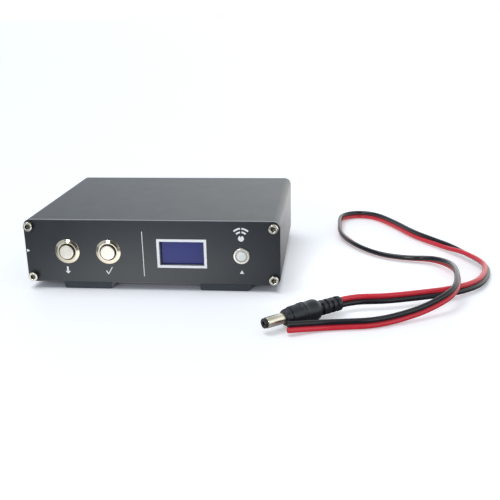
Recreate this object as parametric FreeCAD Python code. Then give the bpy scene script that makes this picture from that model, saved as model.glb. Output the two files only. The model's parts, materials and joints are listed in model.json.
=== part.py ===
import FreeCAD, Part
import math
import os

# Coaxial antenna switch: a flat extruded case on two skid rails, with two push buttons, a lamp and a small
# display in front, five coaxial sockets and a supply jack behind, and its loose supply lead on the surface
# beside it. Millimetres. +X is to the right of someone facing the buttons, +Y to the rear, +Z up.
# The origin is on the standing surface, under the middle of the switch without its lead.

Vector = FreeCAD.Vector
os.makedirs("parts", exist_ok=True)

# ---- Driving sizes -------------------------------------------------------------------------------------

# Case: sleeve with a front and a rear panel
case_width = 143.0
case_height = 36.3
case_depth = 107.0
case_middle_y = -5.1
case_corner = 4.0
case_wall = 1.8
panel_thickness = 2.0
panel_chamfer = 0.3
joint_chamfer = 0.25
boss_skin = 0.3
boss_corner_step = 0.5

# Skid rails under the case
rail_width = 27.4
rail_height = 3.9
rail_corner = 1.5
rail_end_inset = 0.5
left_rail_end_distance = 34.2
right_rail_end_distance = 31.1
rail_screw_end_distance = 18.0

# M3 and M2 screws
cap_head_radius = 2.75
cap_head_height = 3.0
screw_radius = 1.5
screw_length = 10.0
hex_recess_flats = 2.5
hex_recess_depth = 1.6
sunk_head_radius = 2.9
sunk_head_recess = 0.4
small_screw_radius = 0.95
small_head_radius = 1.8
small_head_height = 1.3

# Push buttons for a 12 mm hole
next_button_end_distance = 24.1
button_pitch = 23.4
button_thread_radius = 6.0
button_barrel_length = 16.0
bezel_radius = 7.0
bezel_rim_radius = 5.4
bezel_step = 0.3
bezel_height = 0.9
cap_radius = 4.5
cap_proud = 1.0
cap_depth = 3.4
cap_edge = 0.6
button_travel = 1.0
spring_packed_length = 2.1
spring_wall = 0.7
button_base_radius = 5.2
button_base_length = 4.0
button_nut_flats = 14.0
button_nut_height = 2.0

# Indicator lamp for an 8 mm hole
lamp_end_distance = 21.1
lamp_drop = 1.2
lamp_thread_radius = 3.9
lamp_barrel_length = 12.0
lamp_flange_radius = 4.45
lamp_flange_height = 1.2
lens_radius = 3.0
lens_seat_depth = 3.0
lens_proud = 0.7
lamp_nut_flats = 10.0
lamp_nut_height = 1.8

# Display module behind its opening in the front panel
display_end_distance = 54.3
display_drop = 0.5
window_width = 24.0
window_height = 13.6
glass_width = 26.7
glass_height = 19.3
glass_thickness = 1.6
display_board_margin = 0.55
display_board_thickness = 1.2
display_hole_inset = 2.2
standoff_radius = 1.8

# Coaxial sockets: 5/8 inch thread, 16 mm hole in the rear panel
socket_count = 5
jack_socket_distance = 20.0
last_socket_end_distance = 14.5
socket_thread_radius = 7.94
socket_thread_length = 11.0
socket_inner_length = 10.0
socket_hex_flats = 19.0
socket_hex_height = 3.0
socket_bore_radius = 6.45
socket_bore_depth = 9.0
socket_waist_radius = 4.5
socket_notch_width = 2.0
socket_notch_depth = 1.0
socket_nut_flats = 19.0
socket_nut_height = 2.5
socket_washer_radius = 9.5
socket_washer_thickness = 0.8
contact_radius = 2.75
contact_bore_radius = 2.0
contact_bore_depth = 8.0
contact_recess = 1.0
contact_tail_radius = 1.5
contact_tail_length = 4.0
insulator_disc = 2.0
insulator_tail = 1.5

# Supply jack for a 5.5 mm plug
jack_end_distance = 10.5
jack_flange_radius = 6.8
jack_flange_height = 1.8
jack_thread_radius = 5.4
jack_inner_length = 12.0
jack_bore_radius = 2.9
jack_bore_depth = 10.5
jack_pin_radius = 1.0
jack_pin_recess = 0.8
jack_nut_flats = 14.0
jack_nut_height = 2.2

# Terminals and wires
terminal_width = 2.0
terminal_thickness = 0.6
terminal_length = 3.5
terminal_spread = 2.6
wire_radius = 0.6
wire_run = 5.0
lead_radius = 0.8
lead_run = 3.6

# Circuit board in the grooves of the sleeve
board_thickness = 1.6
board_height = 8.0
board_groove_depth = 2.0
board_front_distance = 9.0
board_socket_gap = 1.0
groove_rib = 1.4
groove_reach = 3.0

# Parts on the circuit board
relay_width = 15.5
relay_depth = 19.0
relay_height = 15.5
relay_rear_distance = 24.0
relay_front_gap = 4.0
core_outer_radius = 7.0
core_inner_radius = 4.0
core_height = 6.0
regulator_width = 10.0
regulator_depth = 4.5
regulator_height = 15.0
regulator_leg = 0.8
regulator_leg_length = 3.0
regulator_leg_pitch = 2.54
regulator_rear_distance = 34.0
capacitor_radius = 4.0
capacitor_height = 11.0
capacitor_pitch = 10.0
module_width = 36.0
module_depth = 22.0
module_thickness = 1.2
header_width = 2.5
header_height = 5.0
shield_width = 18.0
shield_depth = 14.0
shield_height = 3.0

# Supply lead: a moulded plug on a twin cord
plug_tip_x = 66.8
plug_tip_y = -114.2
plug_turn_deg = 38.1
plug_barrel_radius = 2.75
plug_barrel_length = 12.0
plug_neck_radius = 2.4
plug_neck_length = 4.0
plug_bore_radius = 1.05
plug_bore_depth = 9.0
plug_insulator_radius = 2.1
plug_collar_radius = 4.2
plug_collar_length = 2.0
plug_body_radius = 5.3
plug_body_front_radius = 5.1
plug_body_length = 13.0
plug_taper_length = 6.0
plug_ring_radius = 5.5
plug_ring_width = 1.0
plug_relief_radius = 3.8
plug_relief_length = 13.0
plug_relief_slot = 1.3
plug_relief_core = 2.9
plug_relief_ribs = 4
cord_width = 5.6
cord_straight = 9.0

# Route of the cord after it has left the plug straight, chosen by hand: it lies on the surface and crosses
# once over itself
cord_floor = cord_width / 2
cord_route = [
    (126, -78, 4.0),
    (145, -71.5, cord_floor),
    (164.5, -62.5, cord_floor),
    (179, -49.5, cord_floor),
    (186.5, -32.5, cord_floor),
    (189, -15, cord_floor),
    (180.5, 4.5, cord_floor),
    (168, 23, cord_floor),
    (154, 43.5, cord_floor),
    (143, 69, cord_floor),
    (131, 90, cord_floor),
    (117.5, 94.5, cord_floor),
    (106, 86.5, cord_floor),
    (104.5, 70, cord_floor),
    (105, 45.5, cord_floor),
    (113.5, 23, cord_floor),
    (127.5, 4, cord_floor),
    (143.5, -3.5, cord_floor),
    (160, -5.5, cord_floor),
    (168.5, -22, 7.5),
    (167.5, -50.5, 14.0),
    (162.5, -77.5, 14.0),
    (147, -89, 7.5),
    (131.5, -98, 3.6),
    (118.5, -104.5, 3.2),
    (105.5, -106.5, 3.4),
    (91.5, -109.2, 4.0),
    (78.5, -115, 4.8),
]

# Clearances
screw_hole_gap = 0.05
panel_hole_gap = 0.1
slide_gap = 0.05
board_gap = 0.1
glass_gap = 0.3
glass_post_gap = 0.25

# ---- Places worked out from the sizes ------------------------------------------------------------------

rear_proud = socket_hex_height + socket_thread_length
front_y = case_middle_y - case_depth / 2
rear_y = front_y + case_depth
sleeve_front_y = front_y + panel_thickness
sleeve_rear_y = rear_y - panel_thickness
case_bottom_z = rail_height
case_top_z = case_bottom_z + case_height
middle_z = (case_bottom_z + case_top_z) / 2
left_rail_x = left_rail_end_distance - case_width / 2
right_rail_x = case_width / 2 - right_rail_end_distance
next_button_x = next_button_end_distance - case_width / 2
accept_button_x = next_button_x + button_pitch
display_x = case_width / 2 - display_end_distance
display_z = middle_z - display_drop
lamp_x = case_width / 2 - lamp_end_distance
lamp_z = middle_z - lamp_drop
jack_x = jack_end_distance - case_width / 2
first_socket_x = jack_x + jack_socket_distance
last_socket_x = case_width / 2 - last_socket_end_distance
socket_pitch = (last_socket_x - first_socket_x) / (socket_count - 1)
socket_xs = [first_socket_x + socket_pitch * i for i in range(socket_count)]
board_z = case_bottom_z + board_height
board_top_z = board_z + board_thickness
boss_inset = case_corner - boss_corner_step
boss_radius = boss_inset - boss_skin
boss_x = case_width / 2 - boss_inset
boss_low_z = case_bottom_z + boss_inset
boss_high_z = case_top_z - boss_inset
inner_half_width = case_width / 2 - case_wall
boss_hole_radius = screw_radius + screw_hole_gap
relay_y = sleeve_rear_y - relay_rear_distance - relay_depth
plug_tip = Vector(plug_tip_x, plug_tip_y, plug_ring_radius)


# ---- Helpers -------------------------------------------------------------------------------------------

def save(name, shape):
    """Writes one node, which may hold several separate solids."""
    assert shape.isValid(), name
    shape.exportStep("parts/" + name + ".step")
    print(name, "solids", len(shape.Solids), "volume", round(shape.Volume, 1))


def group(shapes):
    """Keeps separate solids together in one node."""
    return Part.makeCompound(shapes)


def block(x_range, y_range, z_range):
    low = Vector(x_range[0], y_range[0], z_range[0])
    return Part.makeBox(x_range[1] - x_range[0], y_range[1] - y_range[0], z_range[1] - z_range[0], low)


def centred(middle, size):
    return middle - size / 2, middle + size / 2


def rod_y(x, z, radius, y_range):
    return Part.makeCylinder(radius, y_range[1] - y_range[0], Vector(x, y_range[0], z), Vector(0, 1, 0))


def rod_z(x, y, radius, z_range):
    return Part.makeCylinder(radius, z_range[1] - z_range[0], Vector(x, y, z_range[0]))


def cone_y(x, z, first_radius, last_radius, y_range):
    depth = y_range[1] - y_range[0]
    return Part.makeCone(first_radius, last_radius, depth, Vector(x, y_range[0], z), Vector(0, 1, 0))


def hex_y(x, z, flats, y_range):
    """Six-sided bar along Y, with two flats upright."""
    radius = flats / math.sqrt(3)
    corners = []
    for i in range(7):
        angle = math.radians(60 * i + 30)
        corners.append(Vector(x + radius * math.cos(angle), y_range[0], z + radius * math.sin(angle)))
    return Part.Face(Part.makePolygon(corners)).extrude(Vector(0, y_range[1] - y_range[0], 0))


def rounded_bar_y(width, z_range, radius, y_range):
    """Bar along Y with four rounded edges, centred on X."""
    bar = block(centred(0, width), y_range, z_range)
    edges = [e for e in bar.Edges if abs(e.tangentAt(e.FirstParameter).y) > 0.99]
    return bar.makeFillet(radius, edges)


def edges_at_y(shape, y):
    """Edges that lie wholly in the plane at y."""
    return [e for e in shape.Edges if all(abs(v.Y - y) < 1e-6 for v in e.Vertexes)]


def revolve_x(points):
    """Turned piece about X from its half outline: (x, radius) pairs."""
    outline = [Vector(x, 0, radius) for x, radius in points]
    face = Part.Face(Part.makePolygon(outline + [outline[0]]))
    return face.revolve(Vector(0, 0, 0), Vector(1, 0, 0), 360)


def tube(points, radius, report=None):
    """Round bar along straight runs joined by tangent arcs as large as the runs allow."""
    corners = [Vector(*p) for p in points]
    starts = [corners[0]]
    arcs = []
    radii = []
    for before, corner, after in zip(corners, corners[1:], corners[2:]):
        back = (before - corner)
        ahead = (after - corner)
        reach = 0.45 * min(back.Length, ahead.Length)
        half_turn = (math.pi - back.getAngle(ahead)) / 2
        bend = reach / math.tan(half_turn)
        back.normalize()
        ahead.normalize()
        inward = back + ahead
        inward.normalize()
        enter = corner + back * reach
        leave = corner + ahead * reach
        centre = corner + inward * (bend / math.cos(half_turn))
        middle = centre - inward * bend
        arcs.append((enter, middle, leave))
        starts.append(leave)
        radii.append(bend)
    edges = []
    for start, (enter, middle, leave) in zip(starts, arcs):
        edges.append(Part.LineSegment(start, enter).toShape())
        edges.append(Part.Arc(enter, middle, leave).toShape())
    edges.append(Part.LineSegment(starts[-1], corners[-1]).toShape())
    path = Part.Wire(edges)
    section = Part.Wire(Part.makeCircle(radius, corners[0], corners[1] - corners[0]))
    bar = path.makePipeShell([section], True, True)
    if report:
        expected = math.pi * radius * radius * path.Length
        print(report, "length", round(path.Length, 1), "volume ratio", round(bar.Volume / expected, 5))
        print(report, "radii", [round(r, 1) for r in radii])
    return bar


# ---- Case ----------------------------------------------------------------------------------------------

def boss_places():
    return [(x, z) for x in (-boss_x, boss_x) for z in (boss_low_z, boss_high_z)]


def make_sleeve():
    """Extruded sleeve with a screw boss in each corner and a board groove along each side."""
    y_range = (sleeve_front_y, sleeve_rear_y)
    sleeve = rounded_bar_y(case_width, (case_bottom_z, case_top_z), case_corner, y_range)
    for end_y in y_range:
        sleeve = sleeve.makeChamfer(joint_chamfer, edges_at_y(sleeve, end_y))
    inner_z = (case_bottom_z + case_wall, case_top_z - case_wall)
    inner = rounded_bar_y(case_width - 2 * case_wall, inner_z, case_corner - case_wall, y_range)
    sleeve = sleeve.cut(inner)
    for x, z in boss_places():
        sleeve = sleeve.fuse(rod_y(x, z, boss_radius, y_range))
    for side in (-1, 1):
        wall_x = side * inner_half_width
        rib_x = sorted((wall_x - side * groove_reach, wall_x))
        low = block(rib_x, y_range, (board_z - groove_rib, board_z))
        high_z = board_top_z + board_gap
        high = block(rib_x, y_range, (high_z, high_z + groove_rib))
        sleeve = sleeve.fuse([low, high])
    for x, z in boss_places():
        sleeve = sleeve.cut(rod_y(x, z, boss_hole_radius, y_range))
    for x, y in rail_screw_places():
        sleeve = sleeve.cut(rod_z(x, y, boss_hole_radius, (case_bottom_z, case_bottom_z + case_wall)))
    return sleeve.removeSplitter()


def panel_blank(outer_face_y, inner_face_y):
    """Panel plate with a small chamfer round each face, and its four screw holes."""
    y_range = sorted((outer_face_y, inner_face_y))
    plate = rounded_bar_y(case_width, (case_bottom_z, case_top_z), case_corner, y_range)
    plate = plate.makeChamfer(panel_chamfer, edges_at_y(plate, outer_face_y))
    plate = plate.makeChamfer(joint_chamfer, edges_at_y(plate, inner_face_y))
    for x, z in boss_places():
        plate = plate.cut(rod_y(x, z, screw_radius + panel_hole_gap, y_range))
    return plate


def make_front_panel():
    y_range = (front_y, sleeve_front_y)
    panel = panel_blank(front_y, sleeve_front_y)
    for x in (next_button_x, accept_button_x):
        panel = panel.cut(rod_y(x, middle_z, button_thread_radius + screw_hole_gap, y_range))
    panel = panel.cut(rod_y(lamp_x, lamp_z, lamp_thread_radius + screw_hole_gap, y_range))
    return panel.cut(block(centred(display_x, window_width), y_range, centred(display_z, window_height)))


def make_rear_panel():
    y_range = (sleeve_rear_y, rear_y)
    panel = panel_blank(rear_y, sleeve_rear_y)
    for x in socket_xs:
        panel = panel.cut(rod_y(x, middle_z, socket_thread_radius + screw_hole_gap, y_range))
    return panel.cut(rod_y(jack_x, middle_z, jack_thread_radius + screw_hole_gap, y_range))


def cap_screw(x, z, face_y, outward):
    """Hexagon socket cap screw along Y, its head on the outer face of a panel."""
    head_end = face_y + outward * cap_head_height
    head_y = sorted((face_y, head_end))
    shank_y = sorted((face_y, face_y - outward * screw_length))
    recess_y = sorted((head_end, head_end - outward * hex_recess_depth))
    screw = rod_y(x, z, cap_head_radius, head_y).fuse(rod_y(x, z, screw_radius, shank_y))
    return screw.cut(hex_y(x, z, hex_recess_flats, recess_y)).removeSplitter()


# ---- Rails ---------------------------------------------------------------------------------------------

rail_y_range = (front_y + rail_end_inset, rear_y - rail_end_inset)


def rail_screw_places():
    ys = (front_y + rail_screw_end_distance, rear_y - rail_screw_end_distance)
    return [(x, y) for x in (left_rail_x, right_rail_x) for y in ys]


def sunk_screw(x, y, gap):
    """Countersunk screw from below, or with a gap the hole that takes it."""
    head_top_z = sunk_head_recess + sunk_head_radius - screw_radius
    low = Vector(x, y, sunk_head_recess)
    head = Part.makeCone(sunk_head_radius + gap, screw_radius + gap, head_top_z - sunk_head_recess, low)
    shank = rod_z(x, y, screw_radius + gap, (head_top_z, case_bottom_z + case_wall))
    return head.fuse(shank)


def make_rail(x):
    """Flat skid rail with its two lower edges rounded and two countersunk holes."""
    rail = block(centred(x, rail_width), rail_y_range, (0, rail_height))
    lower = [e for e in rail.Edges if all(v.Z < 1e-6 for v in e.Vertexes)]
    lower = [e for e in lower if abs(e.tangentAt(e.FirstParameter).y) > 0.99]
    rail = rail.makeFillet(rail_corner, lower)
    for screw_x, y in rail_screw_places():
        if screw_x == x:
            rail = rail.cut(sunk_screw(x, y, screw_hole_gap))
            rail = rail.cut(rod_z(x, y, sunk_head_radius + screw_hole_gap, (0, sunk_head_recess)))
    return rail


# ---- Push buttons --------------------------------------------------------------------------------------

button_bore_radius = cap_radius + slide_gap
bezel_front_y = front_y - bezel_height
cap_front_y = bezel_front_y - cap_proud
cap_rear_y = bezel_front_y + cap_depth
button_bore_end_y = cap_rear_y + button_travel + spring_packed_length
button_barrel_end_y = sleeve_front_y + button_barrel_length
button_base_end_y = button_barrel_end_y + button_base_length


def make_button_body(x):
    """Metal housing: bevelled bezel, threaded barrel and a blind bore for the cap."""
    body = rod_y(x, middle_z, bezel_radius, (front_y - bezel_step, front_y))
    bevel_y = (bezel_front_y, front_y - bezel_step)
    body = body.fuse(cone_y(x, middle_z, bezel_rim_radius, bezel_radius, bevel_y))
    body = body.fuse(rod_y(x, middle_z, button_thread_radius, (front_y, button_barrel_end_y)))
    return body.cut(rod_y(x, middle_z, button_bore_radius, (bezel_front_y, button_bore_end_y)))


def make_button_cap(x):
    """Flat round cap with a softened front edge."""
    cap = rod_y(x, middle_z, cap_radius, (cap_front_y, cap_rear_y))
    return cap.makeFillet(cap_edge, edges_at_y(cap, cap_front_y))


def make_button_spring(x):
    """Return spring, as a plain sleeve between the cap and the bottom of its bore."""
    outer = cap_radius - spring_wall
    y_range = (cap_rear_y, button_bore_end_y)
    return rod_y(x, middle_z, outer, y_range).cut(rod_y(x, middle_z, outer - spring_wall, y_range))


def make_button_base(x):
    return rod_y(x, middle_z, button_base_radius, (button_barrel_end_y, button_base_end_y))


def terminal_pair(x, z, y):
    """Two solder terminals that stand out to the rear, one each side of the axis."""
    tabs = []
    for side in (-1, 1):
        tab_x = centred(x + side * terminal_spread, terminal_thickness)
        tabs.append(block(tab_x, (y, y + terminal_length), centred(z, terminal_width)))
    return tabs


def ring_nut(x, z, flats, hole_radius, y_range):
    return hex_y(x, z, flats, y_range).cut(rod_y(x, z, hole_radius + screw_hole_gap, y_range))


# ---- Indicator lamp ------------------------------------------------------------------------------------

lamp_face_y = front_y - lamp_flange_height
lamp_barrel_end_y = sleeve_front_y + lamp_barrel_length


def make_lamp_body():
    """Metal lamp holder: flange, threaded barrel, and a seat for the lens."""
    body = rod_y(lamp_x, lamp_z, lamp_flange_radius, (lamp_face_y, front_y))
    body = body.fuse(rod_y(lamp_x, lamp_z, lamp_thread_radius, (front_y, lamp_barrel_end_y)))
    seat = rod_y(lamp_x, lamp_z, lens_radius + slide_gap, (lamp_face_y, lamp_face_y + lens_seat_depth))
    return body.cut(seat)


def make_lamp_lens():
    """Frosted lens: a short rod with a shallow domed front."""
    rod = rod_y(lamp_x, lamp_z, lens_radius, (lamp_face_y, lamp_face_y + lens_seat_depth))
    ball_radius = (lens_radius ** 2 + lens_proud ** 2) / (2 * lens_proud)
    ball_y = lamp_face_y - lens_proud + ball_radius
    ball = Part.makeSphere(ball_radius, Vector(lamp_x, ball_y, lamp_z))
    dome = ball.common(rod_y(lamp_x, lamp_z, ball_radius, (lamp_face_y - 2 * lens_proud, lamp_face_y)))
    return rod.fuse(dome)


# ---- Display -------------------------------------------------------------------------------------------

glass_front_y = sleeve_front_y + glass_gap
glass_rear_y = glass_front_y + glass_thickness
display_board_rear_y = glass_rear_y + display_board_thickness
display_board_width = glass_width + 2 * display_board_margin
post_reach_x = display_board_width / 2 - display_hole_inset
post_reach_z = glass_height / 2 + glass_post_gap + standoff_radius
display_board_height = 2 * (post_reach_z + display_hole_inset)


def display_screw_places():
    return [(display_x + i * post_reach_x, display_z + j * post_reach_z) for i in (-1, 1) for j in (-1, 1)]


def make_display_glass():
    return block(
        centred(display_x, glass_width), (glass_front_y, glass_rear_y), centred(display_z, glass_height)
    )


def make_display_board():
    x_range = centred(display_x, display_board_width)
    z_range = centred(display_z, display_board_height)
    board = block(x_range, (glass_rear_y, display_board_rear_y), z_range)
    for x, z in display_screw_places():
        board = board.cut(
            rod_y(x, z, small_screw_radius + screw_hole_gap, (glass_rear_y, display_board_rear_y))
        )
    return board


def make_display_standoff(x, z):
    """Short threaded post between the front panel and the display's board."""
    y_range = (sleeve_front_y, glass_rear_y)
    post = rod_y(x, z, standoff_radius, y_range)
    return post.cut(rod_y(x, z, small_screw_radius + screw_hole_gap, y_range))


def make_display_screw(x, z):
    """Small pan-head screw from the rear of the display's board into its post."""
    head = rod_y(x, z, small_head_radius, (display_board_rear_y, display_board_rear_y + small_head_height))
    return head.fuse(rod_y(x, z, small_screw_radius, (glass_front_y, display_board_rear_y)))


# ---- Coaxial sockets -----------------------------------------------------------------------------------

socket_rim_y = rear_y + rear_proud
socket_floor_y = socket_rim_y - socket_bore_depth
socket_inner_end_y = sleeve_rear_y - socket_inner_length
insulator_end_y = socket_inner_end_y - insulator_tail
contact_front_y = socket_rim_y - contact_recess
contact_waist_y = socket_floor_y - insulator_disc
contact_tail_end_y = insulator_end_y - contact_tail_length


def make_socket_shell(x):
    """Threaded shell with its hexagon against the rear panel and four notches in the rim."""
    shell = hex_y(x, middle_z, socket_hex_flats, (rear_y, rear_y + socket_hex_height))
    shell = shell.fuse(rod_y(x, middle_z, socket_thread_radius, (socket_inner_end_y, socket_rim_y)))
    shell = shell.cut(rod_y(x, middle_z, socket_bore_radius, (contact_waist_y, socket_rim_y)))
    shell = shell.cut(rod_y(x, middle_z, socket_waist_radius, (socket_inner_end_y, contact_waist_y)))
    notch_y = (socket_rim_y - socket_notch_depth, socket_rim_y)
    across = 2 * socket_thread_radius
    upright = block(centred(x, socket_notch_width), notch_y, centred(middle_z, across))
    level = block(centred(x, across), notch_y, centred(middle_z, socket_notch_width))
    return shell.cut(upright).cut(level).removeSplitter()


def make_socket_insulator(x):
    """Insulator: a disc at the bottom of the bore and a stem through the waist."""
    disc = rod_y(x, middle_z, socket_bore_radius, (contact_waist_y, socket_floor_y))
    stem = rod_y(x, middle_z, socket_waist_radius, (insulator_end_y, contact_waist_y))
    body = disc.fuse(stem)
    body = body.cut(rod_y(x, middle_z, contact_radius, (contact_waist_y, socket_floor_y)))
    return body.cut(rod_y(x, middle_z, contact_tail_radius, (insulator_end_y, contact_waist_y)))


def make_socket_contact(x):
    """Centre contact: a split-free tube in front and a solder tail behind."""
    contact = rod_y(x, middle_z, contact_radius, (contact_waist_y, contact_front_y))
    contact = contact.fuse(rod_y(x, middle_z, contact_tail_radius, (contact_tail_end_y, contact_waist_y)))
    bore_y = (contact_front_y - contact_bore_depth, contact_front_y)
    return contact.cut(rod_y(x, middle_z, contact_bore_radius, bore_y))


def make_socket_washer(x):
    y_range = (sleeve_rear_y - socket_washer_thickness, sleeve_rear_y)
    washer = rod_y(x, middle_z, socket_washer_radius, y_range)
    return washer.cut(rod_y(x, middle_z, socket_thread_radius + screw_hole_gap, y_range))


def make_socket_nut(x):
    rear = sleeve_rear_y - socket_washer_thickness
    return ring_nut(x, middle_z, socket_nut_flats, socket_thread_radius, (rear - socket_nut_height, rear))


# ---- Supply jack ---------------------------------------------------------------------------------------

jack_face_y = rear_y + jack_flange_height
jack_inner_end_y = sleeve_rear_y - jack_inner_length
jack_floor_y = jack_face_y - jack_bore_depth


def make_jack_body():
    body = rod_y(jack_x, middle_z, jack_flange_radius, (rear_y, jack_face_y))
    body = body.fuse(rod_y(jack_x, middle_z, jack_thread_radius, (jack_inner_end_y, rear_y)))
    return body.cut(rod_y(jack_x, middle_z, jack_bore_radius, (jack_floor_y, jack_face_y)))


# ---- Circuit board -------------------------------------------------------------------------------------

board_y_range = (sleeve_front_y + board_front_distance, socket_inner_end_y - board_socket_gap)
module_x = display_x
module_y_range = (relay_y - relay_front_gap - module_depth, relay_y - relay_front_gap)


def make_main_board():
    width = 2 * (inner_half_width - groove_reach + board_groove_depth)
    return block(centred(0, width), board_y_range, (board_z, board_top_z))


def make_relay(x):
    y_range = (relay_y, relay_y + relay_depth)
    return block(centred(x, relay_width), y_range, (board_top_z, board_top_z + relay_height))


def make_sense_core():
    """Ferrite ring of the frequency sensor, flat on the board."""
    y = relay_y - relay_front_gap - core_outer_radius
    z_range = (board_top_z, board_top_z + core_height)
    return rod_z(last_socket_x, y, core_outer_radius, z_range).cut(
        rod_z(last_socket_x, y, core_inner_radius, z_range)
    )


def make_regulator():
    """Voltage regulator standing on its three legs."""
    y = sleeve_rear_y - regulator_rear_distance
    body_z = board_top_z + regulator_leg_length
    y_range = centred(y, regulator_depth)
    body = block(centred(jack_x, regulator_width), y_range, (body_z, body_z + regulator_height))
    for i in (-1, 0, 1):
        leg_x = centred(jack_x + i * regulator_leg_pitch, regulator_leg)
        body = body.fuse(block(leg_x, centred(y, regulator_leg), (board_top_z, body_z)))
    return body.removeSplitter()


def make_capacitor(i):
    y = sleeve_rear_y - regulator_rear_distance - capacitor_pitch * (i + 1)
    return rod_z(jack_x, y, capacitor_radius, (board_top_z, board_top_z + capacitor_height))


def make_module_headers():
    """Two pin strips that carry the control module."""
    strips = []
    z_range = (board_top_z, board_top_z + header_height)
    for side in (-1, 1):
        x = module_x + side * (module_width - header_width) / 2
        strips.append(block(centred(x, header_width), module_y_range, z_range))
    return strips


def make_module_board():
    z = board_top_z + header_height
    return block(centred(module_x, module_width), module_y_range, (z, z + module_thickness))


def make_module_shield():
    z = board_top_z + header_height + module_thickness
    middle_y = sum(module_y_range) / 2
    return block(centred(module_x, shield_width), centred(middle_y, shield_depth), (z, z + shield_height))


# ---- Wires inside --------------------------------------------------------------------------------------

def drop_wire(x, z, y, direction, run, radius):
    """Wire from a terminal's end, straight on for a run and then down to the board."""
    away = y + direction * run
    return tube([(x, y, z), (x, away, z), (x, away, board_top_z)], radius)


def terminal_wires(x, z, y, direction):
    return [drop_wire(x + side * terminal_spread, z, y, direction, wire_run, wire_radius) for side in (-1, 1)]


# ---- Supply lead ---------------------------------------------------------------------------------------

plug_neck_end = plug_barrel_length + plug_neck_length
plug_body_front = plug_barrel_length + plug_collar_length
plug_taper_start = plug_body_front + plug_body_length
plug_relief_front = plug_taper_start + plug_taper_length
plug_length = plug_relief_front + plug_relief_length
plug_direction = Vector(math.cos(math.radians(plug_turn_deg)), math.sin(math.radians(plug_turn_deg)), 0)


def lay_plug(shape):
    """Turns a piece made along +X from the plug's tip, and lays it on the surface."""
    shape.rotate(Vector(0, 0, 0), Vector(0, 0, 1), plug_turn_deg)
    shape.translate(plug_tip)
    return shape


def make_plug_barrel():
    """Metal tube with a narrower neck that sits in the moulded grip."""
    return revolve_x([
        (0, plug_insulator_radius), (0, plug_barrel_radius),
        (plug_barrel_length, plug_barrel_radius), (plug_barrel_length, plug_neck_radius),
        (plug_neck_end, plug_neck_radius), (plug_neck_end, plug_insulator_radius)
    ])


def make_plug_insulator():
    return revolve_x([
        (0, plug_bore_radius), (0, plug_insulator_radius), (plug_neck_end, plug_insulator_radius),
        (plug_neck_end, 0), (plug_bore_depth, 0), (plug_bore_depth, plug_bore_radius)
    ])


def make_plug_body():
    """Moulded grip with a collar, a raised ring, a taper, and a slotted strain relief."""
    ring_start = plug_body_front + (plug_body_length - plug_ring_width) / 2
    body = revolve_x([
        (plug_barrel_length, plug_neck_radius), (plug_barrel_length, plug_collar_radius),
        (plug_body_front, plug_collar_radius), (plug_body_front, plug_body_front_radius),
        (ring_start, plug_body_radius), (ring_start, plug_ring_radius),
        (ring_start + plug_ring_width, plug_ring_radius), (ring_start + plug_ring_width, plug_body_radius),
        (plug_taper_start, plug_body_radius), (plug_relief_front, plug_relief_radius),
        (plug_length, plug_relief_radius), (plug_length, 0),
        (plug_neck_end, 0), (plug_neck_end, plug_neck_radius)
    ])
    pitch = plug_relief_length / plug_relief_ribs
    for i in range(plug_relief_ribs):
        slot_x = plug_relief_front + pitch * i
        x_range = (slot_x, slot_x + plug_relief_slot)
        across = 2 * plug_relief_radius
        slot = block(x_range, centred(0, across), centred(0, across))
        core = Part.makeCylinder(plug_relief_core, plug_relief_slot, Vector(slot_x, 0, 0), Vector(1, 0, 0))
        bridge_height = plug_relief_core
        if i % 2:
            bridge = block(x_range, centred(0, across), centred(0, bridge_height))
        else:
            bridge = block(x_range, centred(0, bridge_height), centred(0, across))
        body = body.cut(slot.cut(core).cut(bridge))
    return body


# ---- The whole switch ----------------------------------------------------------------------------------

save("sleeve", make_sleeve())
save("front_panel", make_front_panel())
save("rear_panel", make_rear_panel())
save("front_panel_screws", group([cap_screw(x, z, front_y, -1) for x, z in boss_places()]))
save("rear_panel_screws", group([cap_screw(x, z, rear_y, 1) for x, z in boss_places()]))

save("left_rail", make_rail(left_rail_x))
save("right_rail", make_rail(right_rail_x))
save("rail_screws", group([sunk_screw(x, y, 0) for x, y in rail_screw_places()]))

for button, button_x in (("next_button", next_button_x), ("accept_button", accept_button_x)):
    save(button + "_body", make_button_body(button_x))
    save(button + "_cap", make_button_cap(button_x))
    save(button + "_spring", make_button_spring(button_x))
    save(button + "_base", make_button_base(button_x))
button_xs = (next_button_x, accept_button_x)
nut_y_range = (sleeve_front_y, sleeve_front_y + button_nut_height)
button_nuts = [ring_nut(x, middle_z, button_nut_flats, button_thread_radius, nut_y_range) for x in button_xs]
save("button_nuts", group(button_nuts))
button_tabs = [tab for x in button_xs for tab in terminal_pair(x, middle_z, button_base_end_y)]
save("button_terminals", group(button_tabs))

save("lamp_body", make_lamp_body())
save("lamp_lens", make_lamp_lens())
lamp_nut_y_range = (sleeve_front_y, sleeve_front_y + lamp_nut_height)
save("lamp_nut", ring_nut(lamp_x, lamp_z, lamp_nut_flats, lamp_thread_radius, lamp_nut_y_range))
save("lamp_terminals", group(terminal_pair(lamp_x, lamp_z, lamp_barrel_end_y)))

save("display_glass", make_display_glass())
save("display_board", make_display_board())
save("display_standoffs", group([make_display_standoff(x, z) for x, z in display_screw_places()]))
save("display_screws", group([make_display_screw(x, z) for x, z in display_screw_places()]))

for index, socket_x in enumerate(socket_xs):
    socket = "radio_socket" if index == socket_count - 1 else "antenna_socket_" + str(index + 1)
    save(socket + "_shell", make_socket_shell(socket_x))
    save(socket + "_insulator", make_socket_insulator(socket_x))
save("socket_contacts", group([make_socket_contact(x) for x in socket_xs]))
save("socket_washers", group([make_socket_washer(x) for x in socket_xs]))
save("socket_nuts", group([make_socket_nut(x) for x in socket_xs]))

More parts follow.
